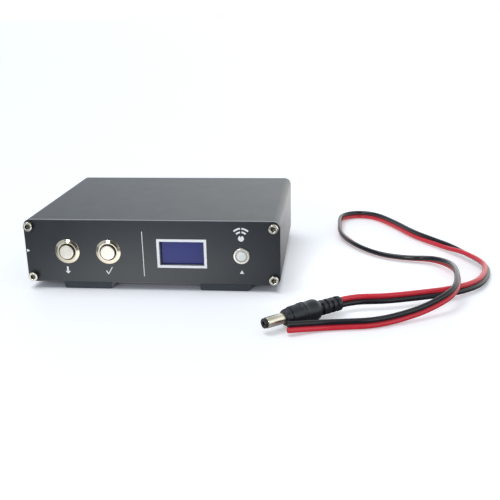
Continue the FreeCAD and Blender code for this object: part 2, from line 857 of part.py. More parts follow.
save("jack_body", make_jack_body())
save("jack_pin", rod_y(jack_x, middle_z, jack_pin_radius, (jack_floor_y, jack_face_y - jack_pin_recess)))
jack_nut_y_range = (sleeve_rear_y - jack_nut_height, sleeve_rear_y)
save("jack_nut", ring_nut(jack_x, middle_z, jack_nut_flats, jack_thread_radius, jack_nut_y_range))
jack_terminal_y = jack_inner_end_y - terminal_length
save("jack_terminals", group(terminal_pair(jack_x, middle_z, jack_terminal_y)))

save("main_board", make_main_board())
save("relays", group([make_relay(x) for x in socket_xs]))
save("sense_core", make_sense_core())
save("regulator", make_regulator())
save("capacitors", group([make_capacitor(i) for i in range(2)]))
save("module_headers", group(make_module_headers()))
save("module_board", make_module_board())
save("module_shield", make_module_shield())

front_wires = []
for button_x in button_xs:
    front_wires += terminal_wires(button_x, middle_z, button_base_end_y + terminal_length, 1)
front_wires += terminal_wires(lamp_x, lamp_z, lamp_barrel_end_y + terminal_length, 1)
save("front_wires", group(front_wires))
save("supply_wires", group(terminal_wires(jack_x, middle_z, jack_terminal_y, -1)))
cable_z = display_z + glass_height / 2
display_cable = drop_wire(display_x, cable_z, display_board_rear_y, 1, wire_run * 2, wire_radius * 2)
save("display_cable", display_cable)
socket_leads = [drop_wire(x, middle_z, contact_tail_end_y, -1, lead_run, lead_radius) for x in socket_xs]
save("socket_leads", group(socket_leads))

save("plug_barrel", lay_plug(make_plug_barrel()))
save("plug_insulator", lay_plug(make_plug_insulator()))
save("plug_body", lay_plug(make_plug_body()))
cord_exit = plug_tip + plug_direction * plug_length
cord_start = [tuple(cord_exit), tuple(cord_exit + plug_direction * cord_straight)]
cord = tube(cord_start + cord_route, cord_width / 2, "cord")
save("supply_cord", cord)
print("cord exit", [round(v, 3) for v in cord_exit])
print("front_y", front_y, "rear_y", rear_y, "middle_z", middle_z)
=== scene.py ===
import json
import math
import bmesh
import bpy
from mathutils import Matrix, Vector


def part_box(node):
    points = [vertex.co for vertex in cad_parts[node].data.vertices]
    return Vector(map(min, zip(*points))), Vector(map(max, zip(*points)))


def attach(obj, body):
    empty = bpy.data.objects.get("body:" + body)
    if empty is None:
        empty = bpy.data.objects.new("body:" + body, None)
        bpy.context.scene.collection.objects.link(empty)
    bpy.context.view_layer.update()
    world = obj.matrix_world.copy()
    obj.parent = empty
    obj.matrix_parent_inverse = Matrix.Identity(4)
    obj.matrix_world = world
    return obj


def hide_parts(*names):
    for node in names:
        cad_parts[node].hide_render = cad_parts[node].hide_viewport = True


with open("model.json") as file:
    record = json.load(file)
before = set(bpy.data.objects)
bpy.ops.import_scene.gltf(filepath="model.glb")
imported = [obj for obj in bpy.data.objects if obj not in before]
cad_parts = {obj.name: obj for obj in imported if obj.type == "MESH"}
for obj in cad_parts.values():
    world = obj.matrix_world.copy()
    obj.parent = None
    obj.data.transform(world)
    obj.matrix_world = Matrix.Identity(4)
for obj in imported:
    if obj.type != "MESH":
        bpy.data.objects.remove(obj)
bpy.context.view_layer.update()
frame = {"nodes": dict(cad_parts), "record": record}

# %% [markdown]
# # A coaxial antenna switch on a white table
#
# The object is a flat aluminium case on two skid rails. Its front has two metal push buttons, a small
# display and a lamp. Its rear has five coaxial sockets and a supply jack. Its red and black supply lead
# lies beside it. The solids are loaded already, in metres, with X to the right, Y to the rear and Z up.
# This lesson gives them their finishes and models by hand the pieces that need finer shapes than the
# plain solids have.

mm = 0.001

# %% [markdown]
# ## The camera
#
# A camera can be placed by eye, or by its height, distance and lens. Here its place and turn are plain
# numbers in degrees: it stands in front, to the right and above, and looks down at the case with a mild
# long lens.

# %% The camera
camera_place = Vector((97.72, -441.37, 149.89)) * mm
camera_pan = math.radians(6.37)
camera_tilt = math.radians(90 - 18.07)
camera_roll = math.radians(-1.2)
bpy.ops.object.select_all(action="DESELECT")
bpy.ops.object.camera_add(location=camera_place)
camera = bpy.context.object
camera.name = "studio_camera"
camera.data.sensor_width = 36
camera.data.lens = 53.8
camera.data.clip_start = 0.01
turns = Matrix.Rotation(camera_pan, 4, "Z") @ Matrix.Rotation(camera_tilt, 4, "X")
camera.matrix_world = Matrix.Translation(camera_place) @ turns @ Matrix.Rotation(camera_roll, 4, "Z")
bpy.context.scene.camera = camera
print("camera lens", camera.data.lens, "mm")

# %% [markdown]
# ## Colours and nodes
#
# A shader reads linear colours, but people write colours as a screen shows them, as #rrggbb. One
# function turns the second into the first. Another adds a node with its settings and its links in one
# line, so that each material below stays short enough to read.

# %% Helpers for materials
def linear(colour):
    """Turns #rrggbb, as a screen shows it, into the linear numbers that a shader reads."""
    parts = [int(colour[i:i + 2], 16) / 255 for i in (1, 3, 5)]
    return [p / 12.92 if p <= 0.04045 else ((p + 0.055) / 1.055) ** 2.4 for p in parts] + [1.0]


def add(tree, kind, sockets=None, **settings):
    """Adds a node. A socket is given a number, a colour, or another node's output to link."""
    node = tree.nodes.new(kind)
    for name, value in settings.items():
        setattr(node, name, value)
    for name, value in (sockets or {}).items():
        if isinstance(value, bpy.types.NodeSocket):
            tree.links.new(value, node.inputs[name])
        else:
            node.inputs[name].default_value = value
    return node


def start_finish(name, colour, roughness, metallic=0.0, more=None):
    """Starts a material with the values that are the same all over it."""
    material = bpy.data.materials.new(name)
    material.use_nodes = True
    shader = material.node_tree.nodes["Principled BSDF"]
    shader.inputs["Base Color"].default_value = linear(colour)
    shader.inputs["Roughness"].default_value = roughness
    shader.inputs["Metallic"].default_value = metallic
    for socket, value in (more or {}).items():
        shader.inputs[socket].default_value = value
    return material, material.node_tree, shader


# %% [markdown]
# Most finishes need the same two things: a fine grain that catches the light, and a slow change of tone
# from place to place. Both can be noise on the object's own coordinates. The size of the noise is a real
# size in millimetres, and a stretch draws it out along one axis, as extruding and brushing do.

# %% Grain and tone
def place_of(tree, stretch=(1, 1, 1)):
    """Object coordinates, squeezed along the axes where the pattern should be drawn out."""
    coordinates = add(tree, "ShaderNodeTexCoord").outputs["Object"]
    return add(tree, "ShaderNodeMapping", {"Vector": coordinates, "Scale": stretch}).outputs["Vector"]


def from_centre(tree, centre):
    """Object coordinates, counted from a piece's own middle."""
    coordinates = add(tree, "ShaderNodeTexCoord").outputs["Object"]
    ends = {0: coordinates, 1: centre}
    return add(tree, "ShaderNodeVectorMath", ends, operation="SUBTRACT").outputs["Vector"]


def noise_of(tree, size, stretch=(1, 1, 1), detail=2.0):
    return add(
        tree, "ShaderNodeTexNoise", {"Vector": place_of(tree, stretch), "Scale": 1 / size, "Detail": detail}
    ).outputs["Fac"]


def grain(tree, shader, size, depth):
    """Fine relief of a real size and depth."""
    height = noise_of(tree, size)
    bump = add(tree, "ShaderNodeBump", {"Height": height, "Distance": depth, "Strength": 1.0})
    tree.links.new(bump.outputs["Normal"], shader.inputs["Normal"])


def tone(tree, shader, size, dark, light, stretch=(1, 1, 1)):
    """Slow change of colour between two tones."""
    ramp = add(tree, "ShaderNodeValToRGB", {"Fac": noise_of(tree, size, stretch)})
    ramp.color_ramp.elements[0].position = 0.3
    ramp.color_ramp.elements[0].color = linear(dark)
    ramp.color_ramp.elements[1].position = 0.7
    ramp.color_ramp.elements[1].color = linear(light)
    tree.links.new(ramp.outputs["Color"], shader.inputs["Base Color"])
    return ramp.outputs["Color"]


def sheen(tree, shader, size, smooth, rough):
    """Patches that are a little smoother or rougher, as handling and plating leave them."""
    patches = noise_of(tree, size, detail=4.0)
    spread = add(tree, "ShaderNodeMapRange", {"Value": patches, "To Min": smooth, "To Max": rough})
    tree.links.new(spread.outputs["Result"], shader.inputs["Roughness"])


# %% [markdown]
# ## Finishes of the case
#
# The case is aluminium, bead blasted and then anodised: acid grows a clear skin of oxide that takes a
# dark dye. The eye sees a dark, even, satin grey that turns pale where light grazes it. A metal shader
# would mirror the room in grey, but the dyed skin hides the metal, so a dark surface with a plain clear
# gloss is nearer.

# %% Anodised aluminium of the sleeve
def anodised_sleeve():
    material, tree, shader = start_finish("anodised_aluminium_sleeve", "#272c33", 0.34)
    # Extruding leaves faint lines along the case, about half a millimetre apart
    tone(tree, shader, 0.6 * mm, "#252a31", "#2a2f36", stretch=(1, 0.01, 1))
    sheen(tree, shader, 9 * mm, 0.31, 0.37)
    # Real blasting is finer than 0.1 mm, and is drawn at 0.5 mm so that it shows
    grain(tree, shader, 0.5 * mm, 0.008 * mm)
    return material


# %% [markdown]
# The panels are cut from plate, so their narrow edges are milled and paler than their faces, and their pale
# colour there is also a painted highlight for the bright line along each edge. A mask from the direction that
# a face looks in tells the two apart: an edge doesn't look along Y.

# %% Anodised aluminium of the panels
def anodised_panel():
    gloss = {"Specular IOR Level": 0.72}
    material, tree, shader = start_finish("anodised_aluminium_panel", "#1f272d", 0.36, more=gloss)
    face = tone(tree, shader, 14 * mm, "#192128", "#1e262d")
    normal = add(tree, "ShaderNodeTexCoord").outputs["Normal"]
    along_y = add(tree, "ShaderNodeSeparateXYZ", {"Vector": normal}).outputs["Y"]
    turned_away = add(tree, "ShaderNodeMath", {0: along_y}, operation="ABSOLUTE").outputs["Value"]
    milled_edge_highlight = add(tree, "ShaderNodeMath", {0: turned_away, 1: 0.4}, operation="LESS_THAN").outputs["Value"]
    # Pale milled metal on the edges, together with a painted highlight along them
    colours = {"Factor": milled_edge_highlight, "A": face, "B": linear("#8f959b")}
    mixed = add(tree, "ShaderNodeMix", colours, data_type="RGBA")
    tree.links.new(mixed.outputs["Result"], shader.inputs["Base Color"])
    sheen(tree, shader, 7 * mm, 0.33, 0.4)
    grain(tree, shader, 0.5 * mm, 0.008 * mm)
    return material


# %% [markdown]
# The rails are moulded plastic, matt and as dark as the case. Mould texture is a fine leather-like
# grain.

# %% Plastic of the rails
def rail_plastic():
    matt = {"Specular IOR Level": 0.25}
    material, tree, shader = start_finish("moulded_abs_rail", "#3b4046", 0.55, more=matt)
    tone(tree, shader, 5 * mm, "#383d43", "#3f444b")
    sheen(tree, shader, 3 * mm, 0.5, 0.62)
    grain(tree, shader, 0.6 * mm, 0.02 * mm)
    return material


# %% [markdown]
# ## Finishes of the metal parts
#
# Nickel plate is a warm white metal. On the screws it is bright, over tumbled steel. On the buttons it
# is satin, over turned brass, and the turning leaves rings round the axis. A metal shader keeps its
# default index, and the colour is what it reflects. The rings are a wave that grows from the middle of
# each piece and repeats every tenth of pi of its scaled length, so its scale is worked out from the
# rings' spacing.

# %% Nickel and other metals
def bright_nickel():
    material, tree, shader = start_finish("bright_nickel_plate", "#ece8dc", 0.16, metallic=1.0)
    sheen(tree, shader, 0.8 * mm, 0.12, 0.2)
    grain(tree, shader, 0.4 * mm, 0.0015 * mm)
    return material


def turned_nickel(name, centre, colour, smooth, rough, ring_depth, spun=0.0):
    """Satin nickel with turning rings about an axis along Y through the centre."""
    streak = {"Anisotropic": spun, "Anisotropic Rotation": 0.25}
    material, tree, shader = start_finish(name, colour, (smooth + rough) / 2, metallic=1.0, more=streak)
    if spun:
        round_axis = add(tree, "ShaderNodeTangent", direction_type="RADIAL", axis="Y").outputs["Tangent"]
        tree.links.new(round_axis, shader.inputs["Tangent"])
    # Turning marks are 0.05 mm apart, and are drawn 1.57 mm apart so that they show
    ring_spacing = 1.57 * mm
    wave = {"Vector": from_centre(tree, centre), "Scale": math.pi / 10 / ring_spacing, "Distortion": 0.4}
    rings = add(tree, "ShaderNodeTexWave", wave, wave_type="RINGS", rings_direction="Y").outputs["Fac"]
    bump = add(tree, "ShaderNodeBump", {"Height": rings, "Distance": ring_depth, "Strength": 1.0})
    tree.links.new(bump.outputs["Normal"], shader.inputs["Normal"])
    sheen(tree, shader, 1.5 * mm, smooth, rough)
    return material


def plain_metal(name, colour, roughness):
    material, tree, shader = start_finish(name, colour, roughness, metallic=1.0)
    sheen(tree, shader, 1.2 * mm, roughness * 0.8, roughness * 1.25)
    grain(tree, shader, 0.4 * mm, 0.004 * mm)
    return material


# %% [markdown]
# ## Finishes of the plastics
#
# The lead is soft vinyl: two insulated wires, red and black, drawn through a hot die side by side. It is
# smooth with a satin shine, and the die leaves faint waves along it. The plug's grip is vinyl too, but
# moulded, and the mould gives it a dull skin. The other plastics are harder and get their own shine and
# grain.

# %% Plastics
def plain_plastic(name, dark, light, roughness, grain_size=0.5 * mm, grain_depth=0.01 * mm):
    material, tree, shader = start_finish(name, light, roughness)
    tone(tree, shader, 4 * mm, dark, light)
    sheen(tree, shader, 2 * mm, roughness * 0.9, roughness * 1.1)
    grain(tree, shader, grain_size, grain_depth)
    return material


def frosted_lens(centre):
    """Lens of frosted acrylic: light enters it and scatters, so its middle looks milky. Its sloped rim is
    painted greyer, as painted shade.
    """
    scatter = {
        "Subsurface Weight": 0.35, "Subsurface Radius": (1.0, 1.0, 0.9), "Subsurface Scale": mm, "IOR": 1.49,
    }
    material, tree, shader = start_finish("frosted_acrylic_lens", "#f2f6ee", 0.38, more=scatter)
    flat = {0: from_centre(tree, centre), 1: (1, 0, 1)}
    in_face = add(tree, "ShaderNodeVectorMath", flat, operation="MULTIPLY").outputs["Vector"]
    radius = add(tree, "ShaderNodeVectorMath", {0: in_face}, operation="LENGTH").outputs["Value"]
    # Painted shade on the sloped rim: the colour turns greyer outwards from 2.35 mm
    rim = add(tree, "ShaderNodeMapRange", {"Value": radius, "From Min": 2.35 * mm, "From Max": 2.6 * mm})
    colours = {"Factor": rim.outputs["Result"], "A": linear("#f2f6ee"), "B": linear("#cbcbc0")}
    mixed = add(tree, "ShaderNodeMix", colours, data_type="RGBA")
    tree.links.new(mixed.outputs["Result"], shader.inputs["Base Color"])
    sheen(tree, shader, 1 * mm, 0.32, 0.45)
    grain(tree, shader, 0.35 * mm, 0.008 * mm)
    return material


# %% [markdown]
# The display is a glass plate over a blue screen, with a black mask round it. One material can draw
# both: a point is on the screen if it is near enough to the middle, across and up. The glass itself is a
# clear coat.

# %% Display glass
def display_finish(centre, half_width, half_height):
    glass_coat = {"Coat Weight": 0.25, "Coat Roughness": 0.03, "Specular IOR Level": 0.1}
    material, tree, shader = start_finish("display_glass_with_screen", "#07080b", 0.08, more=glass_coat)
    from_middle = {0: from_centre(tree, centre)}
    away = add(tree, "ShaderNodeVectorMath", from_middle, operation="ABSOLUTE").outputs["Vector"]
    apart = add(tree, "ShaderNodeSeparateXYZ", {"Vector": away}).outputs
    in_width = add(tree, "ShaderNodeMath", {0: apart["X"], 1: half_width}, operation="LESS_THAN")
    in_height = add(tree, "ShaderNodeMath", {0: apart["Z"], 1: half_height}, operation="LESS_THAN")
    both = {0: in_width.outputs["Value"], 1: in_height.outputs["Value"]}
    on_screen = add(tree, "ShaderNodeMath", both, operation="MULTIPLY").outputs["Value"]
    # The screen is a little lighter in one place than in another
    uneven = {"Factor": noise_of(tree, 18 * mm, detail=0.0), "A": linear("#363b7d"), "B": linear("#3c4286")}
    blue = add(tree, "ShaderNodeMix", uneven, data_type="RGBA").outputs["Result"]
    colours = {"Factor": on_screen, "A": linear("#07080b"), "B": blue}
    mixed = add(tree, "ShaderNodeMix", colours, data_type="RGBA")
    tree.links.new(mixed.outputs["Result"], shader.inputs["Base Color"])
    return material


# %% [markdown]
# ## A finish for each slot
#
# The record gives each solid a slot, such as "relay_plastic". A table from slot to material dresses
# every solid at once, also those inside the case, so that nothing is left plain if the case is opened.

# %% Finishes by slot
def centre_of(node):
    low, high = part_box(node)
    return (Vector(low) + Vector(high)) / 2


lamp_middle = centre_of("lamp_body")
screen_half_width = 11.75 * mm
screen_half_height = 6.55 * mm
screen = display_finish(centre_of("display_glass"), screen_half_width, screen_half_height)

finishes = {
    "anodised_case": anodised_sleeve(),
    "anodised_panel": anodised_panel(),
    "rail_plastic": rail_plastic(),
    "nickel_screws": bright_nickel(),
    "black_screws": plain_metal("black_oxide_steel", "#2a2a2b", 0.4),
    "satin_nickel": plain_metal("satin_nickel_plate", "#d8d2c4", 0.26),
    "spun_nickel": plain_metal("spun_nickel_plate", "#e4dece", 0.3),
    "spring_steel": plain_metal("spring_steel_wire", "#b9b9b8", 0.3),
    "black_plastic": plain_plastic("moulded_black_nylon", "#0e0f10", "#16181a", 0.42),
    "tinned_brass": plain_metal("tinned_brass", "#cfc9b6", 0.32),
    "frosted_lens": frosted_lens(lamp_middle),
    "display_glass": screen,
    "circuit_board": plain_plastic("solder_mask_on_glass_fibre", "#0c3a22", "#125030", 0.35),
    "socket_nickel": plain_metal("nickel_plated_brass_socket", "#d6d0c0", 0.2),
    "socket_insulator": plain_plastic("white_ptfe", "#e3e2da", "#eeede6", 0.45),
    "gold_contact": plain_metal("gold_plate", "#d9ac57", 0.24),
    "relay_plastic": plain_plastic("blue_relay_case", "#123a7c", "#174690", 0.3),
    "ferrite": plain_plastic("sintered_ferrite", "#26262a", "#303034", 0.6),
    "capacitor_sleeve": plain_plastic("shrunk_capacitor_sleeve", "#0d0e12", "#15161c", 0.25),
    "wire_insulation": plain_plastic("extruded_vinyl_hook_up_wire", "#9c1518", "#b3191d", 0.35),
    "bare_copper": plain_metal("bare_copper_strands", "#c9966e", 0.3),
    "moulded_vinyl": plain_plastic("moulded_black_vinyl", "#141922", "#1a202a", 0.38, 0.4 * mm),
    "cord_vinyl": plain_plastic("extruded_black_vinyl", "#10121a", "#14161f", 0.2, 0.4 * mm, 0.003 * mm),
}
for part in frame["record"]["subparts"]:
    solid = frame["nodes"][part["node"]]
    solid.data.materials.clear()
    solid.data.materials.append(finishes[part["material_slot"]])

# %% [markdown]
# ## The lead's line
#
# A cord has a fixed length and lies as gravity and its own stiffness let it. Its line could be a chain of
# arcs, but a smooth spline through few control points bends like real wire. The control points are in
# millimetres. The lead leaves the plug straight, turns, loops, crosses over itself in a long low hump and
# ends cut off beside the plug.

# %% The lead's line
plug_tip = Vector((66.8, -114.2, 5.5)) * mm
plug_turn = math.radians(38.1)
plug_length = 46 * mm
plug_direction = Vector((math.cos(plug_turn), math.sin(plug_turn), 0))
lead_width = 5.6 * mm
straight_run = 9 * mm
lead_exit = plug_tip + plug_direction * plug_length
lead_straight = lead_exit + plug_direction * straight_run
lead_points = [
    (126, -79, 5.5), (145, -71.5, 5.0), (164.5, -62.5, 4.4), (179, -49.5, 3.8), (186.5, -32.5, 3.4),
    (189, -15, 3.4), (180.5, 4.5, 3.6), (168, 23, 3.4), (154, 43.5, 3.0), (143, 69, 2.95),
    (131, 90, 2.95), (117.5, 94.5, 2.95), (106, 86.5, 2.95), (104.5, 70, 2.95), (105, 45.5, 2.7),
    (113.5, 23, 2.3), (127.5, 4, 2.25), (143.5, -3.5, 2.35), (160, -5.5, 2.9), (168.5, -22, 5.0),
    (167.5, -50.5, 9.8), (162.5, -77.5, 9.8), (147, -89, 5.0), (131.5, -98, 3.1), (118.5, -104.5, 2.85),
    (105.5, -106.5, 2.9), (91.5, -109.2, 3.0), (78.5, -115, 4.2),
]
route = [lead_exit, lead_straight] + [Vector(point) * mm for point in lead_points]
line = bpy.data.curves.new("lead_line", "CURVE")
line.dimensions = "3D"
line.resolution_u = 10
spline = line.splines.new("NURBS")
spline.points.add(len(route) - 1)
for control, place in zip(spline.points, route):
    control.co = (*place, 1.0)
spline.order_u = 3
spline.use_endpoint_u = True
guide = bpy.data.objects.new("lead_guide", line)
bpy.context.collection.objects.link(guide)
lead_path = [vertex.co.copy() for vertex in bpy.data.meshes.new_from_object(guide).vertices]
bpy.data.objects.remove(guide)
lead_length = sum((b - a).length for a, b in zip(lead_path, lead_path[1:]))
print("lead length", round(lead_length / mm, 1), "mm along", len(lead_path), "points")

# %% [markdown]
# ## The lead's two cores
#
# The lead is two round cores that are joined along a narrow web. Its section is two arcs, and the
# section is carried along the line. Such a lead twists slowly: it stands on edge in one place and leans
# over in another. The lean is the angle from straight up to the red core, towards the left of someone
# walking along the lead. It is given at a few places along the lead, as a share of its length, and flows
# smoothly in between.

# %% The lead's section and lean
core_radius = 1.45 * mm
core_offset = lead_width / 2 - core_radius
arc_points = 13
lead_lean = [
    (0.0, 25), (0.05, 35), (0.2, 35), (0.25, 60), (0.295, 125), (0.34, 160), (0.42, 165), (0.46, 180),
    (0.52, 180), (0.58, 120), (0.67, 114), (0.745, 160), (0.8, 166), (0.88, 178), (0.94, 176), (1.0, 160),
]
web_angle = math.acos(-core_offset / core_radius)
core_section = [web_angle - 2 * web_angle * i / arc_points for i in range(arc_points + 1)]
red_side = [(core_offset + core_radius * math.cos(a), core_radius * math.sin(a)) for a in core_section]
black_side = [(-across, -up) for across, up in red_side[1:-1]]
lead_section = red_side + black_side
print("section points", len(lead_section), "core", round(2 * core_radius / mm, 2), "mm")


def lean_at(share):
    """The red core's lean at a share of the lead's length, in radians, eased between the given places."""
    for (start, first), (end, last) in zip(lead_lean, lead_lean[1:]):
        if share <= end:
            step = (share - start) / (end - start)
            eased = step * step * (3 - 2 * step)
            return math.radians(first + (last - first) * eased)
    return math.radians(lead_lean[-1][1])


# %% [markdown]
# Each point of the line gets one ring of the section. The ring stands square to the line, and its cross
# axis points along the lean. Faces between two rings belong to the red core or the black core by their
# place round the section, and the two ends are closed by one face for each core.

# %% The lead's mesh
def lead_ring(index, share):
    ahead = lead_path[min(index + 1, len(lead_path) - 1)]
    behind = lead_path[max(index - 1, 0)]
    along = (ahead - behind).normalized()
    left = Vector((0, 0, 1)).cross(along).normalized()
    up = along.cross(left)
    lean = lean_at(share)
    to_red = up * math.cos(lean) + left * math.sin(lean)
    aside = along.cross(to_red)
    return [lead_path[index] + to_red * across + aside * height for across, height in lead_section]


rings = []
walked = 0.0
for index, point in enumerate(lead_path):
    walked += (point - lead_path[index - 1]).length if index else 0.0
    rings.append(lead_ring(index, walked / lead_length))
around = len(lead_section)
lead_vertices = [corner for ring in rings for corner in ring]
lead_faces = []
face_colours = []
for ring in range(len(rings) - 1):
    for side in range(around):
        after = (side + 1) % around
        low, high = ring * around, (ring + 1) * around
        lead_faces.append((low + side, low + after, high + after, high + side))
        face_colours.append(0 if side < arc_points else 1)
last = (len(rings) - 1) * around
red_ring = list(range(arc_points + 1))
black_ring = [arc_points] + list(range(arc_points + 1, around)) + [0]
for first in (0, last):
    for colour, ring in enumerate((red_ring, black_ring)):
        lead_faces.append([first + i for i in ring])
        face_colours.append(colour)
lead_mesh = bpy.data.meshes.new("supply_lead")
lead_mesh.from_pydata(lead_vertices, [], lead_faces)
for face, colour in zip(lead_mesh.polygons, face_colours):
    face.material_index = colour
lead = bpy.data.objects.new("supply_lead", lead_mesh)
bpy.context.collection.objects.link(lead)
print("lead faces", len(lead_mesh.polygons))

# %% [markdown]
# ## Modelling by hand, in code
#
# The steps that a hand does in the window are operators: select, extrude, inset, bevel, apply. Each
# works on what is selected, so the helpers first clear the selection. `pick` selects faces or edges in
# edit mode by a test of their place and direction, which stands in for clicking on them.

# %% Helpers for modelling
def select_only(*pieces):
    bpy.ops.object.select_all(action="DESELECT")
    for piece in pieces:
        piece.select_set(True)
    bpy.context.view_layer.objects.active = pieces[-1]


def pick(piece, kind, test):
    """In edit mode, selects only the faces, edges or corners that pass a test of their place."""
    bpy.ops.mesh.select_mode(type=kind)
    bpy.ops.mesh.select_all(action="DESELECT")
    shape = bmesh.from_edit_mesh(piece.data)
    if kind == "FACE":
        for face in shape.faces:
            face.select_set(test(face.calc_center_median(), face.normal))
    elif kind == "VERT":
        for corner in shape.verts:
            corner.select_set(test(corner.co, corner))
    else:
        for edge in shape.edges:
            edge.select_set(test((edge.verts[0].co + edge.verts[1].co) / 2, edge))
    bmesh.update_edit_mesh(piece.data)


def apply_modifier(piece, kind, **settings):
    modifier = piece.modifiers.new(kind.lower(), kind)
    for name, value in settings.items():
        setattr(modifier, name, value)
    select_only(piece)
    bpy.ops.object.modifier_apply(modifier=modifier.name)


def soften(piece, width, smooth_angle=35):
    """Rounds sharp edges a little, so that they catch the light, and smooths the shading between them."""
    limit = math.radians(30)
    apply_modifier(piece, "BEVEL", width=width, segments=2, limit_method="ANGLE", angle_limit=limit)
    select_only(piece)
    bpy.ops.object.shade_smooth_by_angle(angle=math.radians(smooth_angle))


def apply_place(piece):
    select_only(piece)
    bpy.ops.object.transform_apply(location=True, rotation=True, scale=True)


def edit(piece):
    """Enters edit mode with all of a piece selected."""
    select_only(piece)
    bpy.ops.object.mode_set(mode="EDIT")
    bpy.ops.mesh.select_all(action="SELECT")


def leave_edit():
    bpy.ops.object.mode_set(mode="OBJECT")


def block(place, size):
    """A block with its middle at a place."""
    bpy.ops.object.select_all(action="DESELECT")
    bpy.ops.mesh.primitive_cube_add(size=1, location=place)
    piece = bpy.context.object
    piece.scale = size
    apply_place(piece)
    return piece


def copy_shifted(piece, name, shift):
    """A copy with its own mesh, moved by a shift."""
    select_only(piece)
    bpy.ops.object.duplicate(linked=False)
    copy = bpy.context.object
    copy.name = name
    bpy.ops.transform.translate(value=shift)
    bpy.ops.object.transform_apply(location=True, rotation=True, scale=True)
    return copy


def paint_faces(piece, finish, test):
    """Gives one more finish to the faces that pass a test."""
    piece.data.materials.append(finish)
    edit(piece)
    pick(piece, "FACE", test)
    piece.active_material_index = len(piece.data.materials) - 1
    bpy.ops.object.material_slot_assign()
    leave_edit()


def fit(piece, body, finish, slot, *nodes):
    """Finishes a piece: material, body to ride on, and the plain solids that it stands for, which it hides.
    The slot is not used.
    """
    if finish:
        piece.data.materials.clear()
        piece.data.materials.append(finish)
    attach(piece, body)
    if nodes:
        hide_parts(*nodes)


# %% [markdown]
# ## The lead's cut end
#
# Where the lead is cut, one sees the wall of each core's insulation and the copper strands inside. The
# end face of each core is inset by the wall's thickness and pushed in, which leaves a ring of vinyl
# round the copper.

# %% The lead's ends
insulation_wall = 0.55 * mm
strands_sunk = 0.25 * mm
strands_inset = 0.02 * mm
red_vinyl = plain_plastic("extruded_red_vinyl", "#d82839", "#de2e40", 0.18, 0.4 * mm, 0.002 * mm)
for finish in (red_vinyl, finishes["cord_vinyl"], finishes["bare_copper"]):
    lead.data.materials.append(finish)
cut_end = lead_path[-1]
cut_direction = (lead_path[-1] - lead_path[-2]).normalized()


def at_cut_end(middle, normal):
    return normal.dot(cut_direction) > 0.9 and (middle - cut_end).length < lead_width / 2


edit(lead)
bpy.ops.mesh.normals_make_consistent(inside=False)
pick(lead, "FACE", at_cut_end)
bpy.ops.mesh.inset(thickness=insulation_wall, depth=0, use_individual=True)
bpy.ops.mesh.inset(thickness=strands_inset, depth=-strands_sunk, use_individual=True)
lead.active_material_index = 2
bpy.ops.object.material_slot_assign()
leave_edit()
select_only(lead)
bpy.ops.object.shade_smooth_by_angle(angle=math.radians(38))
fit(lead, "case", None, "cord_vinyl", "supply_cord")
print("lead faces with its cut end", len(lead.data.polygons))

# %% [markdown]
# ## Turned pieces
#
# Bezels, sockets, screws and the plug are all turned on a lathe or moulded round. They could be a
# profile that is spun, but drawing out a disc is as quick and always gives a closed shape: the disc is
# extruded along its axis and scaled, step by step. Each step says, in millimetres, how far out of a face
# it is and how large its radius is. A smaller radius makes a shoulder, and a step back makes a bore.

# %% Drawing out a disc
def turn(name, x, z, face, outward, steps, corners=64):
    """A closed piece about a line along Y through (x, z). Outward is -1 to the front and 1 to the rear."""
    outline = [(face + outward * out * mm, radius * mm) for out, radius in steps]
    y, radius = outline[0]
    bpy.ops.object.select_all(action="DESELECT")
    bpy.ops.mesh.primitive_circle_add(
        vertices=corners, radius=radius, fill_type="NGON", location=(x, y, z), rotation=(math.pi / 2, 0, 0)
    )
    piece = bpy.context.object
    piece.name = name
    piece.data.name = name
    apply_place(piece)
    edit(piece)
    for next_y, next_radius in outline[1:]:
        bpy.ops.mesh.extrude_region_move(TRANSFORM_OT_translate={"value": (0, next_y - y, 0)})
        share = next_radius / radius
        bpy.ops.transform.resize(value=(share, 1, share), center_override=(x, next_y, z))
        y, radius = next_y, next_radius
    bpy.ops.mesh.select_all(action="SELECT")
    bpy.ops.mesh.normals_make_consistent(inside=False)
    leave_edit()
    return piece


def cut(piece, cutter):
    """Cuts a closed shape out of a piece and throws the cutter away."""
    apply_modifier(piece, "BOOLEAN", operation="DIFFERENCE", object=cutter, solver="EXACT")
    bpy.data.objects.remove(cutter)


# %% [markdown]
# ## Push buttons
#
# Each button is a metal housing with a bevelled bezel, and a cap that slides in it. The bezel has a thin
# flange on the panel, a cone that faces outwards, and a narrow flat rim with a sunk ring inside, which
# is dark between the rim and the cap. The cap's face was spun under an abrasive, which leaves marks
# round its middle. They spread a highlight into a streak that crosses them, which the shader calls
# anisotropic, with a tangent round the axis.

# %% Button housings
buttons = ("next_button", "accept_button")
panel_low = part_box("front_panel")[0]
panel_face = panel_low[1]
housing_steps = [
    (-18.0, 6.0), (0, 6.0), (0, 7.0), (0.16, 7.0), (0.26, 6.95), (0.32, 6.82), (0.85, 5.5), (0.9, 5.38),
    (0.9, 4.8), (0.84, 4.72), (0.2, 4.7), (0.2, 4.55), (-5.6, 4.55),
]
for button in buttons:
    middle = centre_of(button + "_cap")
    housing = turn(button + "_housing", middle.x, middle.z, panel_face, -1, housing_steps)
    soften(housing, 0.03 * mm, smooth_angle=14)
    axis = (middle.x, panel_face, middle.z)
    finish = turned_nickel(button + "_turned_nickel", axis, "#d6cebc", 0.09, 0.14, 0.0012 * mm)
    fit(housing, "case", finish, "satin_nickel", button + "_body")
    print(housing.name, "faces", len(housing.data.polygons))
